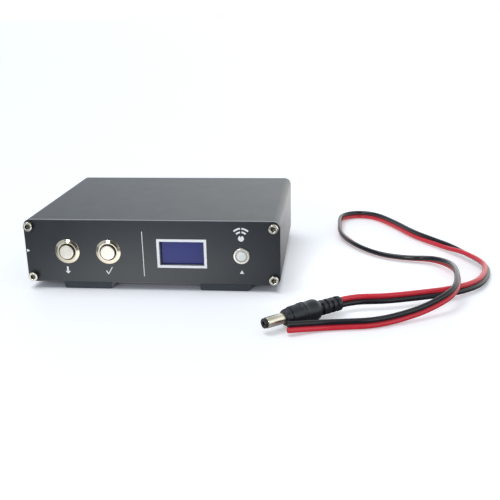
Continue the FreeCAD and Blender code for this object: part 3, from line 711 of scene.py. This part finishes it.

# %% [markdown]
# The rounded edge and the side of a cap stand in the shadow of the bezel. That shade is painted: the faces
# outside a certain radius get a colour much darker than the face's.

# %% Button caps
# Painted shade: a dark colour for the cap's rounded edge and side
cap_side_shade = plain_metal("cap_side_painted_shade", "#46423a", 0.3)
cap_face_radius = 3.98 * mm
cap_steps = [(-2.5, 4.5), (1.32, 4.5), (1.6, 4.42), (1.8, 4.23), (1.9, 3.94), (1.88, 3.2), (1.86, 1.6)]
for button in buttons:
    middle = centre_of(button + "_cap")
    cap = turn(button + "_spun_cap", middle.x, middle.z, panel_face, -1, cap_steps)
    soften(cap, 0.04 * mm)
    axis = (middle.x, panel_face, middle.z)
    finish = turned_nickel(button + "_spun_nickel", axis, "#efebe0", 0.27, 0.34, 0.002 * mm, spun=0.6)
    fit(cap, button, finish, "spun_nickel", button + "_cap")

    def outside_face(spot, normal):
        return math.hypot(spot.x - middle.x, spot.z - middle.z) > cap_face_radius

    paint_faces(cap, cap_side_shade, outside_face)
    print(cap.name, "faces", len(cap.data.polygons))

# %% [markdown]
# ## Lamp
#
# The lamp's holder is a smaller turned piece with a flat bright rim. The lens is a low frosted dome with
# a sloped rim, and a thin dark gap parts the two.

# %% Lamp holder and lens
lamp_x, lamp_z = lamp_middle.x, lamp_middle.z
holder_steps = [
    (-14.0, 3.9), (0, 3.9), (0, 4.45), (0.96, 4.45), (1.13, 4.38), (1.2, 4.22), (1.2, 3.42), (1.14, 3.34),
    (0.7, 3.32), (0.7, 3.2), (-1.8, 3.2),
]
holder = turn("lamp_holder", lamp_x, lamp_z, panel_face, -1, holder_steps)
soften(holder, 0.04 * mm)
axis = (lamp_x, panel_face, lamp_z)
finish = turned_nickel("lamp_turned_nickel", axis, "#f3f0e8", 0.24, 0.32, 0.002 * mm)
fit(holder, "case", finish, "satin_nickel", "lamp_body")
lens_steps = [(-1.8, 3.15), (1.12, 3.15), (1.22, 3.09), (1.54, 2.5), (1.62, 2.32), (1.81, 1.6), (1.89, 0.8)]
lens = turn("lamp_frosted_lens", lamp_x, lamp_z, panel_face, -1, lens_steps)
soften(lens, 0.05 * mm, smooth_angle=60)
fit(lens, "case", finishes["frosted_lens"], "frosted_lens", "lamp_lens")
print("lamp at", round(lamp_x / mm, 1), round(lamp_z / mm, 1))

# %% [markdown]
# ## Cap screws
#
# A socket cap screw has a round head with a softened rim and a six-sided recess with a cone at its bottom.
# The recess and the side of the head get a darker colour than its top: painted shade in the recess and a
# painted dark reflection on the side. One screw is modelled for each panel and copied to the other three
# corners, with its own mesh each time.

# %% Cap screws
# Painted shade in the recess and a painted dark reflection on the side of the head
screw_painted_shade = plain_metal("screw_painted_shade", "#6e675a", 0.4)
screw_steps = [
    (-10, 1.5), (0, 1.5), (0, 2.6), (2.62, 2.6), (2.86, 2.5), (3.0, 2.28), (3.0, 1.66), (2.84, 1.52),
]
recess_steps = [(3.4, 1.443), (1.4, 1.443), (0.9, 0.1)]
recess_edge, top_edge, side_foot, side_top = 1.5, 2.47, 0.02, 2.65


def cap_screw(name, x, z, face, outward):
    """A cap screw whose head stands out of a panel's face."""
    screw = turn(name, x, z, face, outward, screw_steps, corners=48)
    cut(screw, turn("recess", x, z, face, outward, recess_steps, corners=6))
    soften(screw, 0.05 * mm)
    screw.data.materials.clear()
    screw.data.materials.append(finishes["nickel_screws"])

    def is_dull(middle, normal):
        depth = (middle.y - face) * outward / mm
        radius = math.hypot(middle.x - x, middle.z - z) / mm
        return side_foot < depth < side_top and (radius < recess_edge or radius > top_edge)

    paint_faces(screw, screw_painted_shade, is_dull)
    return screw


head_radius = 2.75 * mm
for side, outward in (("front", -1), ("rear", 1)):
    node = side + "_panel_screws"
    low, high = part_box(node)
    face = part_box(side + "_panel")[0 if outward < 0 else 1][1]
    model = cap_screw(side + "_screw_1", low[0] + head_radius, low[2] + head_radius, face, outward)
    across = high[0] - low[0] - 2 * head_radius
    up = high[2] - low[2] - 2 * head_radius
    screws = [model]
    for number, shift in enumerate([(across, 0, 0), (0, 0, up), (across, 0, up)], start=2):
        screws.append(copy_shifted(model, side + "_screw_" + str(number), shift))
    for screw in screws:
        fit(screw, "case", None, "nickel_screws", node)
    print(side, "screws", len(screws))

# %% [markdown]
# ## Printed signs
#
# The signs on the front are screen printed in white ink: a frame round the display, an arrow, a tick,
# small triangles, a divider and a signal sign. Ink has almost no thickness, but a thin raised layer
# keeps its edge crisp from every side. Each sign starts as a plane or a circle on the panel, and all of
# them are joined and raised together.

# %% Helpers for flat signs
ink = 0.03 * mm
facing_front = (math.pi / 2, 0, 0)


def bar(x, z, width, height, turn_deg=0.0, y=panel_face):
    """A flat bar on the panel, centred at (x, z) in millimetres."""
    centre = (x * mm, y, z * mm)
    bpy.ops.object.select_all(action="DESELECT")
    bpy.ops.mesh.primitive_plane_add(size=1, location=centre, rotation=facing_front)
    sign = bpy.context.object
    sign.scale = (width * mm, height * mm, 1)
    apply_place(sign)
    if turn_deg:
        edit(sign)
        bpy.ops.transform.rotate(value=math.radians(turn_deg), orient_axis="Y", center_override=centre)
        leave_edit()
    return sign


def disc(x, z, width, height, corners, turn_deg=0.0):
    """A flat disc or, with few corners, a polygon."""
    place = (x * mm, panel_face, z * mm)
    bpy.ops.object.select_all(action="DESELECT")
    bpy.ops.mesh.primitive_circle_add(vertices=corners, radius=0.5, fill_type="NGON", location=place)
    sign = bpy.context.object
    sign.rotation_euler = (math.pi / 2, math.radians(turn_deg), 0)
    apply_place(sign)
    edit(sign)
    bpy.ops.transform.resize(value=(width * mm, 1, height * mm), center_override=place)
    leave_edit()
    return sign


def arc(x, z, radius, thickness, first_deg, last_deg):
    """A flat arc about (x, z), from one angle to another, counted from straight up towards the right."""
    middle = radius - thickness / 2
    sign = bar(x, z + middle, 0.02, thickness)
    centre = (x * mm, panel_face, z * mm)
    first = math.radians(first_deg)
    edit(sign)
    bpy.ops.transform.rotate(value=-first, orient_axis="Y", center_override=centre)
    onwards = Vector((math.cos(first), 0, -math.sin(first)))
    bar_middle = Vector(centre) + Vector((math.sin(first), 0, math.cos(first))) * middle * mm
    pick(sign, "EDGE", lambda spot, edge: (spot - bar_middle).dot(onwards) > 0.005 * mm)
    sweep = math.radians(last_deg - first_deg)
    bpy.ops.mesh.spin(steps=10, angle=-sweep, center=centre, axis=(0, 1, 0))
    leave_edit()
    return sign


def print_signs(signs, name, thickness):
    """Joins flat signs, raises them by the ink's thickness and prints them on the case."""
    select_only(*signs)
    bpy.ops.object.join()
    sheet = bpy.context.object
    sheet.name = name
    edit(sheet)
    bpy.ops.mesh.remove_doubles(threshold=0.001 * mm)
    bpy.ops.mesh.extrude_region_move(TRANSFORM_OT_translate={"value": (0, thickness, 0)})
    bpy.ops.mesh.select_all(action="SELECT")
    bpy.ops.mesh.normals_make_consistent(inside=False)
    leave_edit()
    fit(sheet, "case", white_ink, "anodised_panel")
    print(name, len(sheet.data.polygons), "faces")


white_ink = plain_plastic("screen_printed_white_ink", "#fafbfb", "#ffffff", 0.5, 0.4 * mm, 0.004 * mm)

# %% [markdown]
# Heights are counted up from the panel's lower edge, in millimetres. The signal sign is a dot with a
# notch at its top and two pairs of arcs over it.

# %% The signs on the front
rows = panel_low[2] / mm
display_frame = bar(17.2, rows + 17.58, 27.7, 16.5)
edit(display_frame)
bpy.ops.mesh.inset(thickness=1.45 * mm)
bpy.ops.mesh.delete(type="FACE")
leave_edit()
divider = bar(-4.45, rows + 17.1, 0.38, 25.9)
dot_x, dot_z, dot_size = 50.2, rows + 26.65, 3.25
dot = disc(dot_x, dot_z, dot_size, dot_size, 32)
dot_top = (dot_z + dot_size / 2) * mm
edit(dot)
pick(dot, "VERT", lambda spot, corner: spot.z > dot_top - 0.01 * mm)
bpy.ops.transform.translate(value=(0, 0, -1.05 * mm))
pick(dot, "VERT", lambda spot, corner: spot.z > dot_top - 0.05 * mm)
bpy.ops.transform.translate(value=(0, 0, -0.45 * mm))
leave_edit()
signs = [display_frame, divider, dot]
for radius, thickness, first, last in ((6.1, 0.9, 4, 44), (4.1, 0.95, 6.4, 45)):
    signs.append(arc(dot_x, dot_z, radius, thickness, -last, -first))
    signs.append(arc(dot_x, dot_z, radius, thickness, first, last))
lamp_triangle = disc(50.35, rows + 7.2, 2.66, 2.66, 3)
edge_triangle = disc(-70.2, rows + 18.3, 2.3, 2.3, 3, turn_deg=90)
arrow_shaft = bar(-48.15, rows + 7.75, 1.0, 2.9)
arrow_head = disc(-48.1, rows + 6.0, 3.7, 2.1, 3, turn_deg=180)
tick_short = bar(-25.35, rows + 6.05, 0.62, 2.3, turn_deg=30)
# The long stroke lies a hair in front of the short one, so that they don't fight for the same plane
tick_long = bar(-23.6, rows + 7.2, 0.5, 4.7, turn_deg=-30, y=panel_face - 0.01 * mm)
signs += [lamp_triangle, edge_triangle, arrow_shaft, arrow_head, tick_short, tick_long]
print_signs(signs, "front_print", -ink)

# %% [markdown]
# ## Numbers on the rear
#
# The four antenna sockets are numbered in the same ink. Blender's text object gives flat letters with its
# own plain font. They become a mesh before they are placed, so that nothing depends on the font later.

# %% Numbers on the rear
rear_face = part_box("rear_panel")[1][1]
digit_height = 4.6 * mm
digit_gap = 1.6 * mm
turned_back = Matrix.Rotation(math.pi, 4, "Z") @ Matrix.Rotation(math.pi / 2, 4, "X")
digits = []
for number in range(1, 5):
    bpy.ops.object.select_all(action="DESELECT")
    bpy.ops.object.text_add()
    digit = bpy.context.object
    digit.data.body = str(number)
    digit.data.size = digit_height
    digit.data.align_x = "CENTER"
    bpy.ops.object.convert(target="MESH")
    digit = bpy.context.object
    socket = "antenna_socket_" + str(number) + "_shell"
    socket_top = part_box(socket)[1][2]
    over_socket = Vector((centre_of(socket).x, rear_face, socket_top + digit_gap))
    digit.matrix_world = Matrix.Translation(over_socket) @ turned_back
    apply_place(digit)
    digits.append(digit)
print_signs(digits, "rear_print", ink)

# %% [markdown]
# ## Coaxial sockets
#
# Each socket is a threaded brass shell on a hexagon, with a white insulator and a gilt contact inside.
# The real thread is a helix, which a screw modifier could make. Rings that stand a thread's pitch apart
# look the same and close cleanly, so the shell is turned with such rings. The hexagon is a six-cornered
# disc whose corners are cut by a cone. One socket is modelled and copied along the row.

# %% Socket shell
shell_low, shell_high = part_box("antenna_socket_1_shell")
socket_middle = centre_of("antenna_socket_1_shell")
socket_x, socket_z = socket_middle.x, socket_middle.z
shell_foot = (shell_low[1] - rear_face) / mm
rim = (shell_high[1] - rear_face) / mm
hexagon_height, hexagon_flats = 3, 19
thread_pitch = 25.4 / 24
thread_crest, thread_root, bore = 7.94, 7.32, 6.45

shell_steps = [(shell_foot, thread_root), (hexagon_height + 0.2, thread_root)]
out = hexagon_height + 0.4
while out + thread_pitch < rim - 0.2:
    shell_steps += [(out, thread_root), (out + 0.42 * thread_pitch, thread_crest)]
    shell_steps += [(out + 0.56 * thread_pitch, thread_crest), (out + 0.98 * thread_pitch, thread_root)]
    out += thread_pitch
shell_steps += [(rim, thread_root), (rim, 6.7), (rim - 0.3, bore), (rim - 9.6, bore)]
shell = turn("threaded_shell", socket_x, socket_z, rear_face, 1, shell_steps)
notch_width, notch_depth, past_shell = 2.0, 1.0, 18
for across, up in ((notch_width, past_shell), (past_shell, notch_width)):
    cut(shell, block((socket_x, shell_high[1], socket_z), Vector((across, 2 * notch_depth, up)) * mm))
corner_radius = hexagon_flats / math.sqrt(3)
hexagon_steps = [(0, corner_radius), (hexagon_height, corner_radius)]
hexagon = turn("hexagon", socket_x, socket_z, rear_face, 1, hexagon_steps, corners=6)
cone_steps = [(-1, 11.2), (2.1, 11.2), (3, 9.5), (3.5, 8.6)]
cone = turn("cone", socket_x, socket_z, rear_face, 1, cone_steps)
apply_modifier(hexagon, "BOOLEAN", operation="INTERSECT", object=cone, solver="EXACT")
bpy.data.objects.remove(cone)
select_only(shell, hexagon)
bpy.ops.object.join()
shell = bpy.context.object
shell.name = "antenna_socket_1_threaded_shell"
soften(shell, 0.04 * mm)
print("socket shell", len(shell.data.polygons), "faces")

# %% Socket insulator and contact
well = rim - 9
insulator_steps = [
    (well - 2, 6.42), (well, 6.42), (well, 5.2), (well + 0.5, 4.9), (well + 0.5, 3.2), (well + 0.1, 2.85),
]
insulator = turn("antenna_socket_1_moulded_insulator", socket_x, socket_z, rear_face, 1, insulator_steps)
soften(insulator, 0.06 * mm)
front = rim - 1
contact_steps = [
    (well - 1, 2.75), (front - 0.3, 2.75), (front, 2.5), (front, 2.1), (front - 0.2, 2.0), (front - 7.5, 2.0),
]
contact = turn("split_contact_1", socket_x, socket_z, rear_face, 1, contact_steps, corners=48)
slit_middle = (socket_x, rear_face + (front - 2.4) * mm, socket_z)
slit_width, slit_length, past_contact = 0.5, 5.2, 7
for across, up in ((slit_width, past_contact), (past_contact, slit_width)):
    cut(contact, block(slit_middle, Vector((across, slit_length, up)) * mm))
soften(contact, 0.03 * mm)
print("insulator", len(insulator.data.polygons), "faces, contact", len(contact.data.polygons), "faces")

# %% The row of sockets
socket_names = ["antenna_socket_" + str(number) for number in range(1, 5)] + ["radio_socket"]
for number, socket in enumerate(socket_names, start=1):
    shift = (centre_of(socket + "_shell").x - socket_x, 0, 0)
    trio = [shell, insulator, contact]
    if number > 1:
        names = (socket + "_threaded_shell", socket + "_moulded_insulator", "split_contact_" + str(number))
        trio = [copy_shifted(piece, name, shift) for piece, name in zip(trio, names)]
    fit(trio[0], "case", finishes["socket_nickel"], "socket_nickel", socket + "_shell")
    fit(trio[1], "case", finishes["socket_insulator"], "socket_insulator", socket + "_insulator")
    fit(trio[2], "case", finishes["gold_contact"], "gold_contact", "socket_contacts")
print("sockets", len(socket_names))

# %% [markdown]
# ## Supply jack
#
# The jack has a round black flange, a bore for the plug's barrel and a thin pin with a rounded tip in
# its middle.

# %% Supply jack
jack_low, jack_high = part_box("jack_body")
jack_middle = centre_of("jack_body")
jack_foot, jack_rim = ((place[1] - rear_face) / mm for place in (jack_low, jack_high))
jack_steps = [
    (jack_foot, 5.4), (0, 5.4), (0, 6.8), (jack_rim - 0.5, 6.8), (jack_rim, 6.3), (jack_rim, 4.0),
    (jack_rim - 0.35, 3.8), (jack_rim - 0.35, 3.1), (jack_rim - 0.6, 2.9), (jack_rim - 10.5, 2.9),
]
jack = turn("supply_jack_flange", jack_middle.x, jack_middle.z, rear_face, 1, jack_steps)
soften(jack, 0.08 * mm)
fit(jack, "case", finishes["black_plastic"], "black_plastic", "jack_body")
pin_foot, pin_end = ((place[1] - rear_face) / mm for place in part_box("jack_pin"))
pin_steps = [(pin_foot, 1.0), (pin_end - 0.5, 1.0), (pin_end - 0.15, 0.8), (pin_end, 0.35)]
pin = turn("supply_jack_pin", jack_middle.x, jack_middle.z, rear_face, 1, pin_steps, corners=32)
soften(pin, 0.05 * mm, smooth_angle=60)
fit(pin, "case", finishes["satin_nickel"], "satin_nickel", "jack_pin")
print("jack at", round(jack_middle.x / mm, 1))

# %% [markdown]
# ## Screws under the rails
#
# Each rail is held by two countersunk screws. They are turned along Y like the rest, given a six-sided
# recess and then stood upright, head down, in the rail's holes.

# %% Rail screws
screw_low, screw_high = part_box("rail_screws")
head_inset = 2.9 * mm
rail_screw_steps = [(0, 2.65), (0.2, 2.88), (1.55, 1.5), (5.3, 1.5), (5.3, 0.6)]
rail_recess_steps = [(-0.5, 1.155), (1.1, 1.155), (1.4, 0.1)]
model = turn("rail_screw_1", 0, 0, 0, 1, rail_screw_steps, corners=48)
cut(model, turn("recess", 0, 0, 0, 1, rail_recess_steps, corners=6))
soften(model, 0.04 * mm)
first_place = Vector((screw_low[0] + head_inset, screw_low[1] + head_inset, screw_low[2]))
model.matrix_world = Matrix.Translation(first_place) @ Matrix.Rotation(math.pi / 2, 4, "X")
apply_place(model)
along_x = screw_high[0] - screw_low[0] - 2 * head_inset
along_y = screw_high[1] - screw_low[1] - 2 * head_inset
rail_screws = [model]
for number, shift in enumerate([(along_x, 0, 0), (0, along_y, 0), (along_x, along_y, 0)], start=2):
    rail_screws.append(copy_shifted(model, "rail_screw_" + str(number), shift))
for screw in rail_screws:
    fit(screw, "case", finishes["black_screws"], "black_screws", "rail_screws")
print("rail screws", len(rail_screws))

# %% [markdown]
# ## Plug
#
# The plug is made along Y from its tip and then laid on the table at the lead's angle. Its metal barrel
# ends in a black tip with a hole. The moulded grip starts with a collar, swells, carries a raised ring
# and a seam, tapers, and ends in a strain relief: a softer stretch that is weakened by grooves, so that
# the lead bends in a wide curve. Short webs bridge each groove, by turns at its top and bottom or at its
# sides.

# %% Laying a piece of the plug
def lay(piece):
    turned = Matrix.Rotation(plug_turn - math.pi / 2, 4, "Z")
    piece.matrix_world = Matrix.Translation(plug_tip) @ turned
    apply_place(piece)


# %% Plug barrel and tip
barrel_steps = [
    (16, 2.4), (12, 2.4), (12, 2.75), (1.75, 2.75), (1.55, 2.6), (1.55, 2.3), (1.8, 2.2), (2.4, 2.2),
]
barrel = turn("plug_metal_barrel", 0, 0, 0, 1, barrel_steps)
soften(barrel, 0.04 * mm)
lay(barrel)
fit(barrel, "case", finishes["satin_nickel"], "satin_nickel", "plug_barrel")
tip_steps = [(3, 2.15), (1.5, 2.15), (1.5, 2.52), (0.25, 2.52), (0, 2.3), (0, 1.35), (0.3, 1.08), (9, 1.05)]
tip = turn("plug_black_tip", 0, 0, 0, 1, tip_steps)
soften(tip, 0.06 * mm)
lay(tip)
fit(tip, "case", finishes["black_plastic"], "black_plastic", "plug_insulator")
print("barrel", len(barrel.data.polygons), "faces, tip", len(tip.data.polygons), "faces")

# %% Plug grip
grip_steps = [
    (12, 2.7), (12, 3.75), (12.25, 4.0), (12.6, 4.15), (14.6, 4.45), (14.75, 4.3), (14.8, 4.12), (15.3, 4.12),
    (15.35, 4.6), (15.6, 4.85), (18.0, 5.0), (21.1, 5.12), (21.25, 5.3), (21.5, 5.4), (21.9, 5.38),
    (22.1, 5.2), (22.9, 5.22), (23.05, 5.44), (23.3, 5.5), (23.7, 5.48), (23.95, 5.22), (24.3, 5.1),
    (26.5, 5.25), (28.5, 5.42), (29.6, 5.48), (30.4, 5.4), (31.4, 5.0), (32.5, 4.2), (32.9, 3.95),
]
first_slot, slot_pitch, slot_count = 33.8, 3.05, 4
slots = [first_slot + slot_pitch * number for number in range(slot_count)]
for middle in slots:
    grip_steps += [(middle - 0.8, 3.85), (middle - 0.65, 3.7), (middle - 0.62, 2.95)]
    grip_steps += [(middle + 0.62, 2.95), (middle + 0.65, 3.7), (middle + 0.8, 3.85)]
grip_steps += [(45.6, 3.85), (45.9, 3.65), (46.0, 3.3), (45.7, 2.95)]
grip = turn("plug_moulded_grip", 0, 0, 0, 1, grip_steps)
web_distance, web_width, web_length, web_height = 3.15, 2.4, 1.4, 1.1
grip_roll = math.radians(13.5)
webs = []
for number, middle in enumerate(slots):
    upright = number % 2 == 0
    size = (web_width, web_length, web_height) if upright else (web_height, web_length, web_width)
    for side in (-web_distance, web_distance):
        place = (0, middle, side) if upright else (side, middle, 0)
        web = block(Vector(place) * mm, Vector(size) * mm)
        web.rotation_euler = (0, grip_roll, 0)
        apply_place(web)
        webs.append(web)
select_only(*webs, grip)
bpy.ops.object.join()
grip = bpy.context.object
soften(grip, 0.06 * mm)
lay(grip)
fit(grip, "case", finishes["moulded_vinyl"], "moulded_vinyl", "plug_body")
print("grip", len(grip.data.polygons), "faces")

# %% [markdown]
# ## The floor
#
# The table is white. For the camera it shines a little by itself, so that it stays white while its shadows
# stay too. This shine is painted light: a little more of it to the right of the case, and none under the
# case, which leaves painted shade there, where hardly any light arrives. Gloss and metal see it darker, with
# a painted pool of light in front of the case and a painted brighter stretch behind it, as on a table that is
# lit by windows.

# %% Floor
bpy.ops.object.select_all(action="DESELECT")
bpy.ops.mesh.primitive_plane_add(size=16, location=(0, 3, 0))
floor = bpy.context.object
floor.name = "studio_floor"
floor_finish, tree, floor_shader = start_finish("studio_floor_white", "#eef1f6", 0.5)
rays = add(tree, "ShaderNodeLightPath").outputs
spot = add(tree, "ShaderNodeNewGeometry").outputs["Position"]
either = {0: rays["Is Glossy Ray"], 1: rays["Is Transmission Ray"]}
mirrored = add(tree, "ShaderNodeMath", either, operation="MAXIMUM").outputs["Value"]
paints = {"Factor": mirrored, "A": linear("#eef1f6"), "B": linear("#75787d")}
paint = add(tree, "ShaderNodeMix", paints, data_type="RGBA")
tree.links.new(paint.outputs["Result"], floor_shader.inputs["Base Color"])
floor_shader.inputs["Emission Color"].default_value = linear("#ffffff")
floor.data.materials.append(floor_finish)
print("floor", floor.name)

# %% The floor's shine in reflections
# A painted pool of light in front of the case and a painted brighter stretch behind it, seen only in
# reflections
pool_middle = (-0.012, -0.096, 0)
ends = {0: spot, 1: pool_middle}
from_pool = add(tree, "ShaderNodeVectorMath", ends, operation="DISTANCE").outputs["Value"]
fade = {"Value": from_pool, "From Max": 0.115, "To Min": 1.6, "To Max": 0.0}
pool = add(tree, "ShaderNodeMapRange", fade, interpolation_type="SMOOTHSTEP").outputs["Result"]
spot_y = add(tree, "ShaderNodeSeparateXYZ", {"Vector": spot}).outputs["Y"]
rise = {"Value": spot_y, "From Min": -0.06, "From Max": 0.12, "To Max": 1.22}
behind = add(tree, "ShaderNodeMapRange", rise).outputs["Result"]
reflected = add(tree, "ShaderNodeMath", {0: pool, 1: behind}, operation="ADD").outputs["Value"]
in_mirror = add(tree, "ShaderNodeMath", {0: mirrored, 1: reflected}, operation="MULTIPLY").outputs["Value"]

# %% The floor's shine for the camera
bright_middle = (0.11, -0.03, 0)
ends = {0: spot, 1: bright_middle}
from_bright = add(tree, "ShaderNodeVectorMath", ends, operation="DISTANCE").outputs["Value"]
fade = {"Value": from_bright, "From Max": 0.09, "To Min": 0.48, "To Max": 0.28}
beside = add(tree, "ShaderNodeMapRange", fade, interpolation_type="SMOOTHSTEP").outputs["Result"]
# Painted shade under the case: the camera's shine is left out there
case_low, case_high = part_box("sleeve")
case_half = (Vector(case_high) - Vector(case_low)) / 2
ends = {0: spot, 1: centre_of("sleeve")}
from_case = add(tree, "ShaderNodeVectorMath", ends, operation="SUBTRACT").outputs["Vector"]
away = add(tree, "ShaderNodeVectorMath", {0: from_case}, operation="ABSOLUTE").outputs["Vector"]
shade_half = (case_half.x - 1.5 * mm, case_half.y + 2 * mm, 0)
ends = {0: away, 1: shade_half}
past_case = add(tree, "ShaderNodeVectorMath", ends, operation="SUBTRACT").outputs["Vector"]
past = add(tree, "ShaderNodeSeparateXYZ", {"Vector": past_case}).outputs
past_edge = add(tree, "ShaderNodeMath", {0: past["X"], 1: past["Y"]}, operation="MAXIMUM").outputs["Value"]
edge = {"Value": past_edge, "From Min": -1.5 * mm, "From Max": 2 * mm}
outside_painted_shade = add(tree, "ShaderNodeMapRange", edge).outputs["Result"]
seen = add(tree, "ShaderNodeMath", {0: beside, 1: outside_painted_shade}, operation="MULTIPLY").outputs["Value"]
both = {0: rays["Is Camera Ray"], 1: seen, 2: in_mirror}
shine = add(tree, "ShaderNodeMath", both, operation="MULTIPLY_ADD").outputs["Value"]
tree.links.new(shine, floor_shader.inputs["Emission Strength"])
print("shade under the case", round(2 * shade_half[0] / mm), "by", round(2 * shade_half[1] / mm), "mm")

# %% [markdown]
# ## Lamps
#
# A soft sun from the upper left draws the faint shadow, and a soft box in front and to the left lights
# the front. Both could be one lamp, but a real bench has daylight and a lamp too, and metal looks better
# with two.

# %% Sun and front light
bpy.ops.object.select_all(action="DESELECT")
bpy.ops.object.light_add(type="SUN", location=(-0.4, -0.4, 1))
sun = bpy.context.object
sun.name = "soft_sun"
sun.data.energy = 1.05
sun.data.angle = math.radians(34)
sun.rotation_euler = Vector((-0.32, 0.08, 1.0)).to_track_quat("Z", "Y").to_euler()
bpy.ops.object.select_all(action="DESELECT")
bpy.ops.object.light_add(type="AREA", location=(-0.38, -1.31, 0.52))
front_light = bpy.context.object
front_light.name = "front_soft_box"
front_light.data.shape = "RECTANGLE"
front_light.data.size = 0.22
front_light.data.size_y = 0.34
front_light.data.energy = 4.4
front_middle = Vector((0, -0.058, 0.022))
front_light.rotation_euler = (front_light.location - front_middle).to_track_quat("Z", "Y").to_euler()
print("sun", sun.data.energy, "front light", front_light.data.energy, "W")

# %% [markdown]
# ## The room
#
# The world fills the rest of the light. The camera sees it white. Gloss and metal see a room whose front
# is dark, as the space behind a camera is, which gives metal its contrast, and which is brighter and
# warmer to the right and dimmer overhead.

# %% The room
world = bpy.data.worlds.new("studio_room")
world.use_nodes = True
bpy.context.scene.world = world
tree = world.node_tree
background = tree.nodes["Background"]
rays = add(tree, "ShaderNodeLightPath").outputs
direction = add(tree, "ShaderNodeTexCoord").outputs["Generated"]
dark_side = Vector((0.0, -0.978, 0.21)).normalized()
towards = add(tree, "ShaderNodeVectorMath", {0: direction, 1: dark_side}, operation="DOT_PRODUCT")
edge = {"Value": towards.outputs["Value"], "From Min": 0.83, "From Max": 0.91, "To Min": 1.0, "To Max": 0.06}
shade = add(tree, "ShaderNodeMapRange", edge).outputs["Result"]
parts = add(tree, "ShaderNodeSeparateXYZ", {"Vector": direction}).outputs
across = {"Value": parts["X"], "From Min": -0.45, "From Max": 0.15}
right = add(tree, "ShaderNodeMapRange", across).outputs["Result"]
level = add(tree, "ShaderNodeMath", {0: right, 1: 0.8, 2: 0.8}, operation="MULTIPLY_ADD").outputs["Value"]
upwards = {"Value": parts["Z"], "From Min": 0.5, "From Max": 0.8, "To Min": 1.0, "To Max": 0.4}
overhead = add(tree, "ShaderNodeMapRange", upwards).outputs["Result"]
dimmed = add(tree, "ShaderNodeMath", {0: shade, 1: overhead}, operation="MULTIPLY").outputs["Value"]
in_mirror = add(tree, "ShaderNodeMath", {0: dimmed, 1: level}, operation="MULTIPLY").outputs["Value"]
lit = {"Factor": rays["Is Glossy Ray"], "A": 0.56, "B": in_mirror}
lit_strength = add(tree, "ShaderNodeMix", lit).outputs["Result"]
seen = {"Factor": rays["Is Camera Ray"], "A": lit_strength, "B": 1.0}
strength = add(tree, "ShaderNodeMix", seen).outputs["Result"]
tree.links.new(strength, background.inputs["Strength"])
tints = {"Factor": right, "A": linear("#e4ecf5"), "B": linear("#f4f8f4")}
tint = add(tree, "ShaderNodeMix", tints, data_type="RGBA").outputs["Result"]
lit = {"Factor": rays["Is Glossy Ray"], "A": linear("#e6eef9"), "B": tint}
lit_colour = add(tree, "ShaderNodeMix", lit, data_type="RGBA").outputs["Result"]
seen = {"Factor": rays["Is Camera Ray"], "A": lit_colour, "B": linear("#ffffff")}
colour = add(tree, "ShaderNodeMix", seen, data_type="RGBA").outputs["Result"]
tree.links.new(colour, background.inputs["Color"])
bpy.context.scene.view_settings.view_transform = "Standard"
print("room", world.name, "nodes", len(tree.nodes))

# %% [markdown]

# %% [markdown]
# ## The end

# The dressed model has to stay in the box of its solids.

# %% The end
print("scene built")
